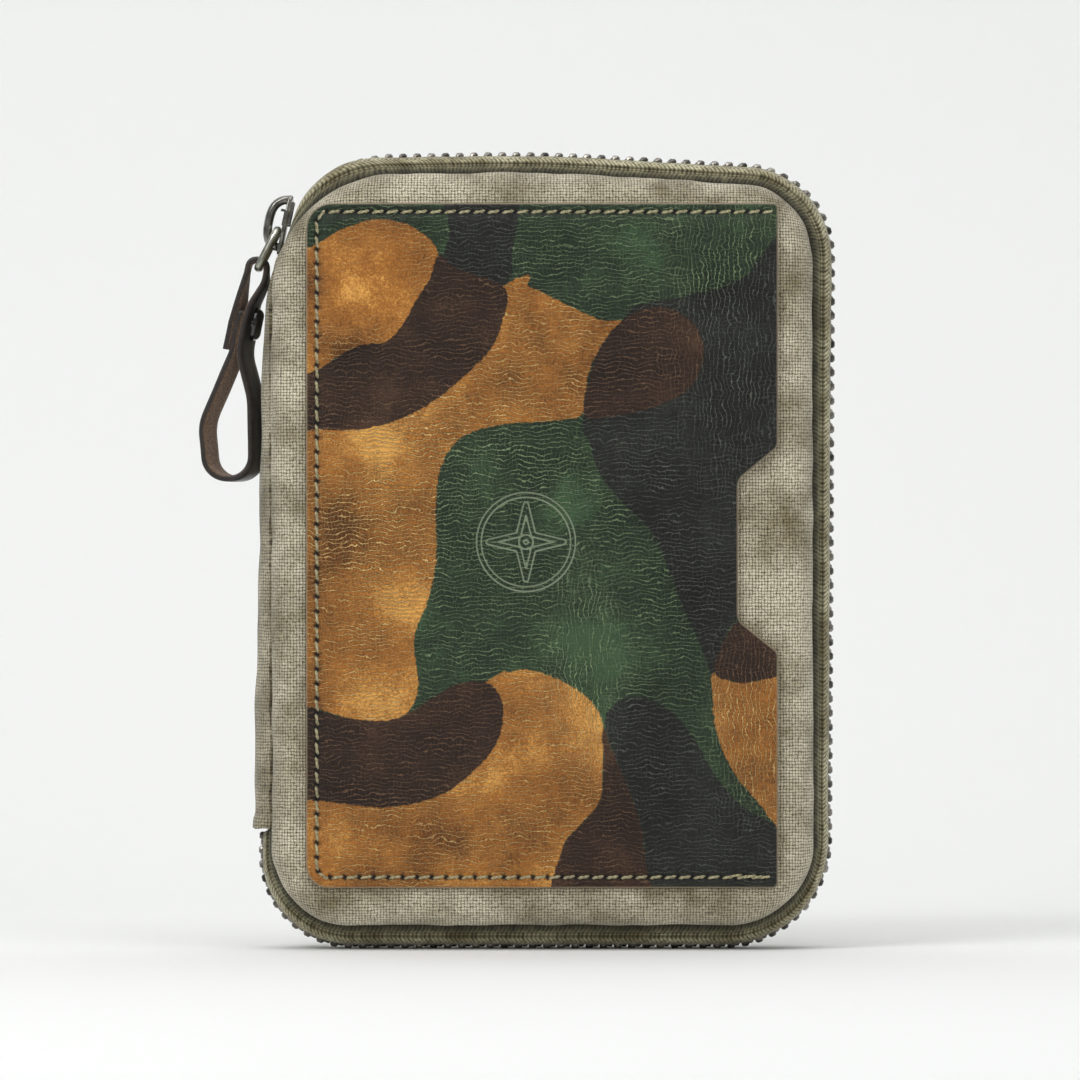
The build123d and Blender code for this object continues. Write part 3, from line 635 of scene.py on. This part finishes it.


# Soft round patches of the panel, each (amount, place of its middle, half sizes). Creases run down the
# panel in the first; the wax has crackled more or less in the second; in the third the print is made
# lighter where the amount is positive and darker where it is negative, partly for rubbing and oil and
# partly as painted light and shade, such as the light band at the top left.
UPRIGHT = [(1.0, (9, 58), (8, 20)), (1.0, (38, 125), (14, 34)), (1.0, (42, 45), (9, 20))]
CRACKLED = [(0.7, (9, 60), (9, 16)), (0.45, (-30, 85), (16, 22)), (0.45, (36, 130), (12, 22)),
            (0.35, (-5, 100), (22, 10)), (0.3, (40, 40), (8, 16)), (-0.56, (-34, 134), (15, 15)),
            (-0.2, (30, 20), (18, 12))]
WEAR_AND_PAINTED_LIGHT = [(0.10, (-33, 131), (16, 4)), (-0.04, (-34, 134), (15, 15)), (-0.13, (-40, 121), (9, 5)),
          (-0.10, (-38, 146), (18, 4)), (-0.08, (-40, 78), (12, 26)), (-0.15, (0, 119), (15, 11)),
          (0.10, (10, 60), (8, 16)), (-0.09, (-24, 22), (24, 12)), (-0.05, (34, 86), (14, 30))]


def patched(x, z, patches):
    """The sum of the patches at each place."""
    return sum(amount * np.exp(-(((x - at[0]) / size[0]) ** 2 + ((z - at[1]) / size[1]) ** 2))
               for amount, at, size in patches)


def pocket_panel():
    """The panel's front face, pressed in along its stitches and at the emblem, with its print marked."""
    outline, _ = rounded(POCKET, POCKET_R, [110, 56, 12, 34, 12, 58, 112, 160], [8, 3, 4, 5, 5, 4, 2, 8])
    # Its points: a jittered lattice, closer ones at the emblem and along the row, and one inside each edge.
    grid = lattice(-46.6, 47.2, 13.0, 149.2, PANEL_STEP)
    grid += 0.2 * np.column_stack([wavy(grid @ [[1, 0, 0], [0, 0, 1]], 1.7, seed) for seed in (11, 12)])
    close = lattice(-13.0, 7.0, 71.6, 92.0, EMBLEM_STEP)
    row = lattice(-46.3, 47.0, 13.3, 149.0, ROW_STEP)
    row = row[gap_to(row, STITCH_LINE, closed=False)[0] < 1.0]
    gap, _, within = gap_to(grid, outline)
    near_row = gap_to(grid, STITCH_LINE, closed=False)[0] < 1.3
    in_close = (np.abs(grid[:, 0] + 3.0) < 10.2) & (np.abs(grid[:, 1] - 81.8) < 10.4)
    grid = grid[within & (gap > 0.75) & ~near_row & ~in_close]
    run = np.roll(outline, -1, 0) - np.roll(outline, 1, 0)
    out = np.column_stack([run[:, 1], -run[:, 0]]) / np.hypot(*run.T)[:, None]
    flat, faces = fill(outline, np.vstack([outline - EDGE_ROUND * out, grid, close, row]))
    flat = np.array(flat)
    gap, _, _ = gap_to(flat, outline)
    row_gap, row_run, _ = gap_to(flat, STITCH_LINE, closed=False)
    x, z = flat.T
    spots = np.column_stack([x, np.zeros(len(x)), z])
    left, low, high = *POCKET[0], POCKET[-1][1]
    sewn = np.clip(1 - np.minimum(np.minimum(x - left, z - low), high - z) / 5.0, 0, 1)
    sewn = sewn * sewn * (3 - 2 * sewn)
    pitch = row_run / STITCH_PITCH * 2 * math.pi
    hole = np.exp(-(row_gap / 0.50) ** 2) * (0.5 - 0.5 * np.cos(pitch)) ** 4
    emblem = emblem_gap(flat)
    pressed = np.exp(-(emblem / 0.45) ** 2)
    stud = np.exp(-((np.hypot(x - STUD_AT[0], z - STUD_AT[1]) - STUD_R) / 0.35) ** 2)
    # Pulled in along the sewn edges and the row, at the holes, the emblem, the stud and the cut edge; then
    # the leather's own waves, and a little swelling between the holes.
    height = LEATHER_Y - HEM_DROP * sewn
    height -= 0.28 * np.exp(-(row_gap / 0.75) ** 2) + 0.40 * hole + 0.26 * pressed + 0.12 * stud
    height -= 0.32 * np.clip(1 - gap / EDGE_ROUND, 0, 1)
    height += 0.10 * wavy(spots * (0.5, 1, 1.6), 5.0, 21) + 0.12 * wavy(spots, 18.0, 22)
    height += 0.08 * np.cos(pitch) * np.exp(-((row_gap - 1.2) / 1.0) ** 2)
    marks = {"black_edge": print_edge(flat, BLACK), "orange_edge": print_edge(flat, ORANGE),
             "brown_edge": print_edge(flat, BROWN), "to_edge": gap, "hole": hole, "to_emblem": emblem,
             "upright": np.clip(1.6 * patched(x, z, UPRIGHT) - 0.25 + 0.25 * wavy(spots, 9.0, 31), 0, 1),
             "lively": np.clip(0.66 + patched(x, z, CRACKLED), 0.05, 1.2),
             "wear_and_painted_light": patched(x, z, WEAR_AND_PAINTED_LIGHT) + 0.08 * wavy(spots, 14.0, 41)}
    return np.column_stack([x, -height, z]), faces, marks


camo = finish("waxed_camouflage_leather", 0.5, Coat_Weight=0.04, Coat_Roughness=0.3,
              Specular_IOR_Level=0.26)
where = node(camo, "ShaderNodeTexCoord")
mm = node(camo, "ShaderNodeVectorMath", {1: (1000.0,) * 3}, {0: (where, 3)}, operation="MULTIPLY")
mark = {name: node(camo, "ShaderNodeAttribute", attribute_name=name)
        for name in ("black_edge", "orange_edge", "brown_edge", "to_edge", "hole", "to_emblem", "upright",
                     "lively", "wear_and_painted_light")}
patchy = node(camo, "ShaderNodeTexNoise", {"Scale": 0.055, "Detail": 8.0, "Roughness": 0.62},
              {"Vector": mm})
grainy = node(camo, "ShaderNodeTexNoise", {"Scale": 2.6, "Detail": 4.0, "Roughness": 0.7}, {"Vector": mm})
bleed = node(camo, "ShaderNodeTexNoise", {"Scale": 1.1, "Detail": 3.0}, {"Vector": mm})
# Crackle: hair lines in the wax, 0.15 mm wide and 0.9 mm apart, wavering and broken, with fainter ones
# across them. They run mostly across the panel, and down it where it has creased that way.
drift = node(camo, "ShaderNodeTexNoise", {"Scale": 0.24, "Detail": 1.5}, {"Vector": mm})
shake = node(camo, "ShaderNodeTexNoise", {"Scale": 1.3, "Detail": 3.0, "Roughness": 0.65}, {"Vector": mm})
drifted = node(camo, "ShaderNodeVectorMath", {1: (3.2,) * 3}, {0: (drift, 1), 2: mm},
               operation="MULTIPLY_ADD")
shaken = node(camo, "ShaderNodeVectorMath", {1: (1.05,) * 3}, {0: (shake, 1), 2: drifted},
              operation="MULTIPLY_ADD")
places = node(camo, "ShaderNodeSeparateXYZ", (), {0: shaken})
strong, faint, sides = [], [], []
for axis, drawn in ((2, (0.22, 0.3, 1.2)), (0, (1.2, 0.3, 0.22))):
    laid = node(camo, "ShaderNodeVectorMath", {1: drawn}, {0: mm}, operation="MULTIPLY")
    cut = node(camo, "ShaderNodeTexNoise", {"Scale": 1.0, "Detail": 2.0}, {"Vector": laid})
    wide = node(camo, "ShaderNodeMath", {1: 0.45}, {0: (places, axis)}, operation="PINGPONG")
    tight = node(camo, "ShaderNodeMath", {1: 0.37}, {0: (places, axis)}, operation="PINGPONG")
    for found, fold, middle, edge_of, top in ((strong, wide, 0.03, 0.115, 1.0),
                                              (faint, tight, 0.01, 0.08, 0.34)):
        line = node(camo, "ShaderNodeMapRange", {1: middle, 2: edge_of, 3: top, 4: 0.0}, {0: fold})
        whole = node(camo, "ShaderNodeMapRange", {1: 0.38, 2: 0.54, 3: 0.22, 4: 1.0}, {0: cut})
        found.append(node(camo, "ShaderNodeMath", (), {0: line, 1: whole}, operation="MULTIPLY"))
    # painted shade: the colour is darkened in a band along both sides of each strong line, for the shadow
    # of the crease
    sides.append(node(camo, "ShaderNodeMapRange", {1: 0.10, 2: 0.34, 3: 0.62, 4: 0.0}, {0: wide}))
across = node(camo, "ShaderNodeMath", (), {0: strong[0], 1: faint[1]}, operation="MAXIMUM")
down = node(camo, "ShaderNodeMath", (), {0: strong[1], 1: faint[0]}, operation="MAXIMUM")
lines = node(camo, "ShaderNodeMix", (), {0: (mark["upright"], 2), 2: across, 3: down})
beside = node(camo, "ShaderNodeMix", (), {0: (mark["upright"], 2), 2: sides[0], 3: sides[1]})
wax = node(camo, "ShaderNodeTexNoise", {"Scale": 0.16, "Detail": 4.0}, {"Vector": mm})
broken = node(camo, "ShaderNodeMapRange", {1: 0.36, 2: 0.58, 3: 0.45, 4: 1.0}, {0: wax})
strength = node(camo, "ShaderNodeMath", (), {0: broken, 1: (mark["lively"], 2)}, operation="MULTIPLY")
crack = node(camo, "ShaderNodeMath", (), {0: lines, 1: strength}, operation="MULTIPLY")
shade = node(camo, "ShaderNodeMath", (), {0: beside, 1: strength}, operation="MULTIPLY")
shaded = node(camo, "ShaderNodeMath", {0: 1.0}, {1: shade}, operation="SUBTRACT")
bare = node(camo, "ShaderNodeMath", {1: 0.65}, {0: grainy, 2: patchy}, operation="MULTIPLY_ADD")
# partly painted light and shade: soft patches lighten and darken the print, partly for rubbing and oil
tone = node(camo, "ShaderNodeMath", (), {0: bare, 1: (mark["wear_and_painted_light"], 2)}, operation="ADD")
# Each ink: its dark, plain and light tones, which the soft patches shift partly for oil and rubbing and
# partly as painted light and shade, and the colour of the hair lines across it.
PRINT = {"green": ("#111810", "#203020", "#3b5538", "#90a77a"),
         "black": ("#0a0b09", "#171915", "#282a24", "#70736a"),
         "orange": ("#55300f", "#a66a2a", "#e0a552", "#f8cf85"),
         "brown": ("#170e09", "#2d1d14", "#4c3526", "#8b6a50")}
colour = hair_colour = None
for name, (low, middle, high, hair) in PRINT.items():
    ink = node(camo, "ShaderNodeValToRGB", (), {0: tone}, [(0.58, low), (1.0, high), (0.85, middle)])
    drawn = node(camo, "ShaderNodeRGB")
    drawn.outputs[0].default_value = linear(hair)
    if colour is None:
        colour, hair_colour = (ink, 0), (drawn, 0)
        continue
    edge_at = node(camo, "ShaderNodeMath", {1: 0.9}, {0: bleed, 2: (mark[f"{name}_edge"], 2)},
                   operation="MULTIPLY_ADD")
    covers = node(camo, "ShaderNodeMapRange", {1: 0.33, 2: 0.57, 3: 1.0, 4: 0.0}, {0: edge_at})
    colour = (node(camo, "ShaderNodeMix", (), {0: covers, 6: colour, 7: ink}, data_type="RGBA"), 2)
    hair_colour = (node(camo, "ShaderNodeMix", (), {0: covers, 6: hair_colour, 7: drawn},
                        data_type="RGBA"), 2)
deep = node(camo, "ShaderNodeMix", {0: 1.0}, {6: colour, 7: shaded}, data_type="RGBA",
            blend_type="MULTIPLY")
crackled = node(camo, "ShaderNodeMix", (), {0: crack, 6: (deep, 2), 7: hair_colour}, data_type="RGBA")
# painted shade: the needle holes are painted near black, for the shadow inside them
dark = node(camo, "ShaderNodeMapRange", {1: 0.05, 2: 0.45, 3: 0.0, 4: 0.95}, {0: (mark["hole"], 2)})
holed = node(camo, "ShaderNodeMix", {7: linear("#080705")}, {0: dark, 6: (crackled, 2)}, data_type="RGBA")
# painted highlight: a pale green band along both sides of each pressed emblem line, for light catching its
# lips
lip_highlight_at = node(camo, "ShaderNodeMath", {1: 0.48, 2: 0.16}, {0: (mark["to_emblem"], 2)}, operation="COMPARE")
lip_highlight = node(camo, "ShaderNodeMath", {1: 0.55}, {0: lip_highlight_at}, operation="MULTIPLY")
with_lip_highlight = node(camo, "ShaderNodeMix", {7: linear("#9aa58a")}, {0: lip_highlight, 6: (holed, 2)}, data_type="RGBA")
# partly the pale cut edge, partly a painted highlight: a light line painted along the panel's whole cut
# edge
cut_edge_and_highlight = node(camo, "ShaderNodeMapRange", {1: 0.15, 2: 0.38, 3: 0.8, 4: 0.0}, {0: (mark["to_edge"], 2)})
node(camo, "ShaderNodeMix", {7: linear("#9c8f78")}, {0: cut_edge_and_highlight, 6: (with_lip_highlight, 2)}, to="Base Color",
     data_type="RGBA")
node(camo, "ShaderNodeMapRange", {1: 0.35, 2: 0.7, 3: 0.42, 4: 0.62}, {0: patchy}, to="Roughness")
pores = node(camo, "ShaderNodeBump", {"Distance": 0.00007, "Strength": 0.7}, {"Height": grainy})
sunk = node(camo, "ShaderNodeMath", {0: 1.0}, {1: crack}, operation="SUBTRACT")
node(camo, "ShaderNodeBump", {"Distance": 0.0002, "Strength": 1.0}, {"Height": sunk, "Normal": pores},
     to="Normal")

verts, faces, marks = pocket_panel()
pocket = thicken(piece("camouflage_leather_pocket", verts, faces, camo, None, marks), LEATHER_T)
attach(pocket, "front_cover")
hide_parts("leather_pocket")

# ---- pocket stitching --------------------------------------------------------------------------
# Waxed khaki two-ply thread, sewn down the left side and along the top and bottom, each stitch pulled
# down into its needle holes and lying a little aslant.
thread = speckled("waxed_khaki_thread", 0.6, (2200.0, 3.0), [(0.3, "#6a6446"), (0.7, "#bdb48d")],
                  bump=(0.00005, 0.7), Sheen_Weight=0.2)
STITCH_HALF, THREAD_R = 1.17, 0.31


def stitch_mesh():
    """One stitch along x, arched towards -y, its two plies twisted."""
    sides, verts = 8, []
    places = np.linspace(-1.0, 1.0, 9)
    for t in places:
        thick = THREAD_R * math.sqrt(max(0.06, 1 - t ** 4))
        for i in range(sides):
            angle = 2 * math.pi * i / sides
            r = thick * (1 + 0.20 * math.cos(2 * angle - 3.4 * t * math.pi / 2))
            verts.append((STITCH_HALF * t + 0.1 * math.sin(angle),
                          0.36 * t * t - 0.12 - r * math.cos(angle) * 0.85,
                          r * math.sin(angle) + 0.16 * t))
    return piece("stitch", verts, skin(len(places), sides, caps=True), thread)


STITCH_Y = -(LEATHER_Y - HEM_DROP - 0.02)
# Many points along each side, so that every stitch lies in line with the row.
sewn = [(a[0] + (b[0] - a[0]) * t, STITCH_Y, a[1] + (b[1] - a[1]) * t)
        for a, b in zip(STITCH_LINE, STITCH_LINE[1:]) for t in np.arange(0, 1, 0.3 / math.dist(a, b))]
sewn.append((STITCH_LINE[-1][0], STITCH_Y, STITCH_LINE[-1][1]))
stitching = repeat_along("pocket_stitching_thread", open_path("path", sewn), stitch_mesh(), thread,
                         0.9999 * STITCH_PITCH, 0.0)
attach(stitching, "front_cover")
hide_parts("pocket_stitching")

# ---- canvas spine ------------------------------------------------------------------------------
# A strip of the same canvas round the fold, bowed outwards, puckered where it is sewn to both covers
# and turned under in a thick, worn hem above the zip's lower end.
SPINE_HALF = 8.5
SPINE_BOWS = [(24.5, 2.3), (40.0, 2.2), (66.0, 1.6), (95.0, 1.1), (120.0, 0.6), (129.0, -0.2),
              (139.0, -1.8)]
SPINE_END = 139.0        # its top end is tucked in beside the zip, following the covers' round corner
CORNER_AT, CORNER_R = (-29.1, 130.2), 25.0
# painted shade: the spine's canvas is the covers' canvas painted darker, for the shade on the pouch's left
# side
spine_canvas_shaded = woven("washed_canvas_spine", "#d6cdb2", "#9c9378", "#403a2b", "#9f9a86")
across_steps, up_steps = 34, 150
verts, uv = [], []
for k in range(up_steps + 1):
    z = SPINE_LOW - 0.3 + (SPINE_END - SPINE_LOW + 0.3) * k / up_steps
    corner = CORNER_AT[0] - math.sqrt(CORNER_R ** 2 - max(0.0, z - CORNER_AT[1]) ** 2)
    bow = np.interp(z, *zip(*SPINE_BOWS))
    hem = math.exp(-max(0.0, z - SPINE_LOW - 1.2) / 1.1)
    for i in range(across_steps + 1):
        t = -1 + 2 * i / across_steps
        seam = math.exp(-((1 - abs(t)) / 0.22) ** 2)
        pucker = noise.noise(Vector((t * 2.0, z / 3.6, 4.0)))
        fold = noise.noise(Vector((t * 1.3 + 3, z / 11.0, 9.0)))
        x = corner - bow * (1 - t * t) ** 0.8 - 0.45 - 0.5 * hem * (1 - t ** 6)
        x += 0.40 * seam * pucker + 0.45 * fold * (1 - t * t) + 0.9 * seam
        ragged = 0.35 * noise.noise(Vector((i * 0.35, 0, 2))) * math.exp(-k / 3)
        verts.append((x, SPINE_HALF * t, z + ragged))
        uv.append((SPINE_HALF * t * MM * 1.1, z * MM))
n = across_steps + 1
faces = [(k * n + i, (k + 1) * n + i, (k + 1) * n + i + 1, k * n + i + 1)
         for k in range(up_steps) for i in range(across_steps)]
spine = thicken(piece("spine_canvas_woven", verts, [f[::-1] for f in faces], spine_canvas_shaded, uv), 1.0)
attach(spine, "spine")
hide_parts("spine_canvas")

# ---- slider and ring -----------------------------------------------------------------------------
# A die-cast slider with the teeth's gunmetal plating, polished by use, and a round wire ring of
# antique nickel through its crown.
polished = speckled("polished_black_gunmetal", 0.18, (500.0, 6.0), [(0.35, "#605f5b"), (0.75, "#b3afa6")],
                    [(0.3, 0.3), (0.7, 0.16)], Metallic=1.0)
for name in ("slider_body", "slider_lock_spring"):
    repaint(name, polished)
nickel = speckled("antique_nickel_wire", 0.3, (300.0, 5.0), [(0.35, "#8b8c7f"), (0.7, "#cdcec2")],
                  [(0.3, 0.4), (0.7, 0.26)], Metallic=1.0)
WIRE_R, RING_HALF_W, RING_R = 0.82, 4.3, 2.0
RING_TOP, RING_LOW = np.array([-53.146, 0, 144.471]), np.array([-57.0, 0, 136.9])


def tube(name, centre, normal_hint, radius, material, sides=12):
    """Closed round wire along a closed line of points in millimetres."""
    centre = np.array(centre, float)
    run = np.roll(centre, -1, 0) - np.roll(centre, 1, 0)
    run /= np.linalg.norm(run, axis=1)[:, None]
    up = np.array(normal_hint, float)
    aside = np.cross(run, up)
    verts = [c + radius * (math.cos(a) * up + math.sin(a) * s) for c, s in zip(centre, aside)
             for a in np.arange(sides) * 2 * math.pi / sides]
    n = len(centre)
    faces = [(k * sides + i, k * sides + (i + 1) % sides, ((k + 1) % n) * sides + (i + 1) % sides,
              ((k + 1) % n) * sides + i) for k in range(n) for i in range(sides)]
    return piece(name, verts, faces, material)


# The crown: a cast bridge over the slider, in section round-edged, from the plate's foot to its nose.
SLIDER_AT = np.array([-50.354, 0, 145.104])
UP, OUT = np.array([0.2079, 0, 0.9781]), np.array([-0.9781, 0, 0.2079])
CROWN = [(-4.5, 1.3), (-4.55, 2.6), (-4.0, 3.7), (-2.8, 4.4), (-1.2, 4.7), (0.8, 4.75), (2.8, 4.6),
         (4.2, 3.9), (5.0, 2.8), (5.25, 1.9), (5.3, 1.3)]
CROWN_T, CROWN_HALF_W = 0.95, 1.7
crown_line = np.array(CROWN)
run = np.gradient(crown_line, axis=0)
run /= np.hypot(*run.T)[:, None]
verts, sides = [], 16
for (u, v), (du, dv) in zip(crown_line, run):
    for a in np.arange(sides) * 2 * math.pi / sides:
        y = CROWN_HALF_W * math.copysign(abs(math.cos(a)) ** 0.7, math.cos(a))
        off = CROWN_T * math.copysign(abs(math.sin(a)) ** 0.8, math.sin(a))
        verts.append(SLIDER_AT + UP * (u - dv * off) + OUT * (v + du * off) + np.array([0, y, 0]))
crown = piece("slider_crown_bridge", verts, skin(len(CROWN), sides, caps=True), polished)
smooth = crown.modifiers.new("smooth", "SUBSURF")
smooth.levels = smooth.render_levels = 1
crown = settled(crown)
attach(crown, "slider")
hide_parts("slider_crown")

hang = (RING_LOW - RING_TOP) / np.linalg.norm(RING_LOW - RING_TOP)
reach = float(np.linalg.norm(RING_LOW - RING_TOP))
loop, _ = rounded([(-RING_HALF_W, 0), (RING_HALF_W, 0), (RING_HALF_W, reach), (-RING_HALF_W, reach)],
                  [RING_R] * 4, [8, 8, 8, 8], [8, 8, 8, 8])
centre = [RING_TOP + hang * v + np.array([0, 1, 0]) * u for u, v in loop]
ring = tube("pull_ring_wire", centre, np.cross(hang, (0, 1, 0)), WIRE_R, nickel)
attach(ring, "ring")
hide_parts("pull_ring")

# ---- leather strap and rivet -----------------------------------------------------------------------
# A strip of thick dark brown leather folded round the ring and back on itself in a loop, suede side
# inwards, with burnished cut edges, and held by one black domed rivet. It hangs a little turned.
STRAP = [(-62.45, 120.5), (-58.75, 138.6), (-55.3, 138.5), (-55.5, 133.9), (-57.99, 129.4), (-59.9, 119.6),
         (-57.5, 110.5), (-57.3, 94.6), (-66.4, 94.3), (-67.4, 105.5), (-61.2, 119.9), (-59.55, 128.2)]
STRAP_R = [1.5, 1.5, 5.0, 5.0, 9.0, 14.0, 4.4, 4.6, 10.0, 9.0]
STRAP_T, STRAP_HALF_W = 1.2, 3.2
STRAP_TURN = 23.0        # degrees by which its loop has turned about the upright


def bent_line(corners, radii, step):
    """Open line with rounded corners, as evenly spaced points."""
    corners = [np.array(c, float) for c in corners]
    line = [corners[0]]
    for before, here, after, radius in zip(corners, corners[1:], corners[2:], radii):
        start, end, middle = bend(before, here, after, radius)
        for t in np.linspace(0, 1, 12):
            point = (start - middle) * (1 - t) + (end - middle) * t
            line.append(middle + point / np.linalg.norm(point) * radius)
    line.append(corners[-1])
    line = np.array(line)
    run = np.concatenate([[0], np.cumsum(np.hypot(*np.diff(line, axis=0).T))])
    places = np.linspace(0, run[-1], int(run[-1] / step))
    return np.column_stack([np.interp(places, run, line[:, 0]), np.interp(places, run, line[:, 1])])


strap_leather = finish("burnished_brown_strap_leather", 0.5, Sheen_Weight=0.15)
where = node(strap_leather, "ShaderNodeTexCoord")
flesh = node(strap_leather, "ShaderNodeAttribute", attribute_name="flesh")
grain = node(strap_leather, "ShaderNodeTexNoise", {"Scale": 700.0, "Detail": 6.0}, {"Vector": (where, 3)})
nap = node(strap_leather, "ShaderNodeTexNoise", {"Scale": 2600.0, "Detail": 5.0}, {"Vector": (where, 3)})
outer = node(strap_leather, "ShaderNodeValToRGB", (), {0: grain}, [(0.32, "#120e0b"), (0.7, "#30251f")])
suede = node(strap_leather, "ShaderNodeValToRGB", (), {0: nap}, [(0.35, "#4b392c"), (0.7, "#94785f")])
node(strap_leather, "ShaderNodeMix", (), {0: (flesh, 2), 6: outer, 7: suede}, to="Base Color",
     data_type="RGBA")
node(strap_leather, "ShaderNodeMapRange", {1: 0.0, 2: 1.0, 3: 0.42, 4: 0.95}, {0: (flesh, 2)},
     to="Roughness")
rough = node(strap_leather, "ShaderNodeMix", (), {0: (flesh, 2), 2: grain, 3: nap})
node(strap_leather, "ShaderNodeBump", {"Distance": 0.00015, "Strength": 0.6}, {"Height": (rough, 0)},
     to="Normal")
line = bent_line(STRAP, STRAP_R, 0.55)
run = np.gradient(line, axis=0)
run /= np.hypot(*run.T)[:, None]
right = np.column_stack([run[:, 1], -run[:, 0]])
# The strap in section: across its width, then outwards from its middle, with burnished corners.
h, w, c = STRAP_T / 2, STRAP_HALF_W, 0.3
section = [(-w, -h + c), (-w + c, -h), (-w / 2, -h - 0.03), (0, -h - 0.05), (w / 2, -h - 0.03), (w - c, -h),
           (w, -h + c), (w, h - c), (w - c, h), (w / 2, h), (0, h), (-w / 2, h), (-w + c, h), (-w, h - c)]
verts, inner = [], []
for k, (point, side) in enumerate(zip(line, right)):
    turn = math.radians(STRAP_TURN) * float(np.clip((136.0 - point[1]) / 10.0, 0, 1))
    for y, off in section:
        x, z = point + side * (off + 0.10 * noise.noise(Vector((k * 0.09, y * 0.25, 5.0))))
        verts.append((x + y * math.sin(turn), y * math.cos(turn), z))
        inner.append(1.0 if off > 0.9 * h and abs(y) < w - 0.5 * c else 0.0)
n, rows = len(section), len(line)
faces = [(k * n + i, (k + 1) * n + i, (k + 1) * n + (i + 1) % n, k * n + (i + 1) % n)
         for k in range(rows - 1) for i in range(n)]
faces += [tuple(range(n)), tuple(range((rows - 1) * n, rows * n))[::-1]]
strap = piece("pull_strap_leather", verts, faces, strap_leather, None, {"flesh": inner})
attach(strap, "strap")
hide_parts("pull_strap")
enamel = speckled("black_enamelled_brass", 0.16, (400.0, 4.0), [(0.4, "#0c0c0d"), (0.8, "#1d1c1b")],
                  Coat_Weight=0.6)
for name in ("rivet_cap", "rivet_post"):
    repaint(name, enamel)

# ---- floor, light and camera -----------------------------------------------------------------
# A seamless pale sweep under soft studio boxes, looked at level from the front through a long lens.
backdrop_paint = finish("matt_studio_paper", 0.9)
backdrop_paint.node_tree.nodes["Principled BSDF"].inputs["Base Color"].default_value = linear("#f3f4f3")
# Seen from behind, the paper is clear, so that a camera beyond it still sees the pouch.
behind = node(backdrop_paint, "ShaderNodeNewGeometry")
clear = node(backdrop_paint, "ShaderNodeBsdfTransparent")
either = node(backdrop_paint, "ShaderNodeMixShader", (), {0: (behind, "Backfacing"), 2: clear})
tree = backdrop_paint.node_tree
tree.links.new(tree.nodes["Principled BSDF"].outputs[0], either.inputs[1])
tree.links.new(either.outputs[0], tree.nodes["Material Output"].inputs["Surface"])
FLOOR_FROM, FLOOR_TO, SWEEP_R, SWEEP_TOP, SWEEP_HALF_W = -700.0, 260.0, 240.0, 1500.0, 1500.0
sweep = [(FLOOR_FROM, 0.0), (FLOOR_TO, 0.0)]
sweep += [(FLOOR_TO + SWEEP_R * math.sin(a), SWEEP_R - SWEEP_R * math.cos(a))
          for a in np.linspace(0.1, math.pi / 2, 14)]
sweep += [(FLOOR_TO + SWEEP_R, SWEEP_TOP)]
verts = [(x, y, z - 0.1) for y, z in sweep for x in (-SWEEP_HALF_W, SWEEP_HALF_W)]
faces = [(2 * i, 2 * i + 1, 2 * i + 3, 2 * i + 2) for i in range(len(sweep) - 1)]
backdrop = piece("studio_sweep", verts, faces, backdrop_paint)


def soft_box(name, at, aim, size, power):
    """Square area light at a place in metres, aimed at a point."""
    lamp = bpy.data.lights.new(name, "AREA")
    lamp.size = size
    lamp.energy = power
    made = bpy.data.objects.new(name, lamp)
    made.location = at
    made.rotation_euler = (Vector(aim) - Vector(at)).to_track_quat("-Z", "Y").to_euler()
    bpy.context.scene.collection.objects.link(made)


middle = (0.0, 0.0, 0.08)
soft_box("key_left", (-0.55, -0.75, 0.75), middle, 0.45, 4.3)
soft_box("fill_right", (0.8, -0.9, 0.35), middle, 0.7, 2.1)
soft_box("top", (0.0, 0.1, 1.1), middle, 0.9, 2.1)
soft_box("wash", (0.0, -0.5, 1.3), (0.0, 0.6, 0.3), 1.0, 5.6)
world = bpy.data.worlds.new("studio")
world.use_nodes = True
world.node_tree.nodes["Background"].inputs[0].default_value = linear("#ffffff")
world.node_tree.nodes["Background"].inputs[1].default_value = 0.31
bpy.context.scene.world = world
bpy.context.scene.view_settings.view_transform = "Standard"

CAMERA_AWAY = 2.0
FIELD = 0.216            # metres across the view at the pouch
lens = bpy.data.cameras.new("camera")
lens.sensor_width = 36.0
lens.lens = lens.sensor_width * (CAMERA_AWAY - FACE_Y * MM) / FIELD
camera = bpy.data.objects.new("camera", lens)
camera.location = (-0.0003, -CAMERA_AWAY, 0.0821)
camera.rotation_euler = (math.pi / 2, 0, 0)
bpy.context.scene.collection.objects.link(camera)
bpy.context.scene.camera = camera
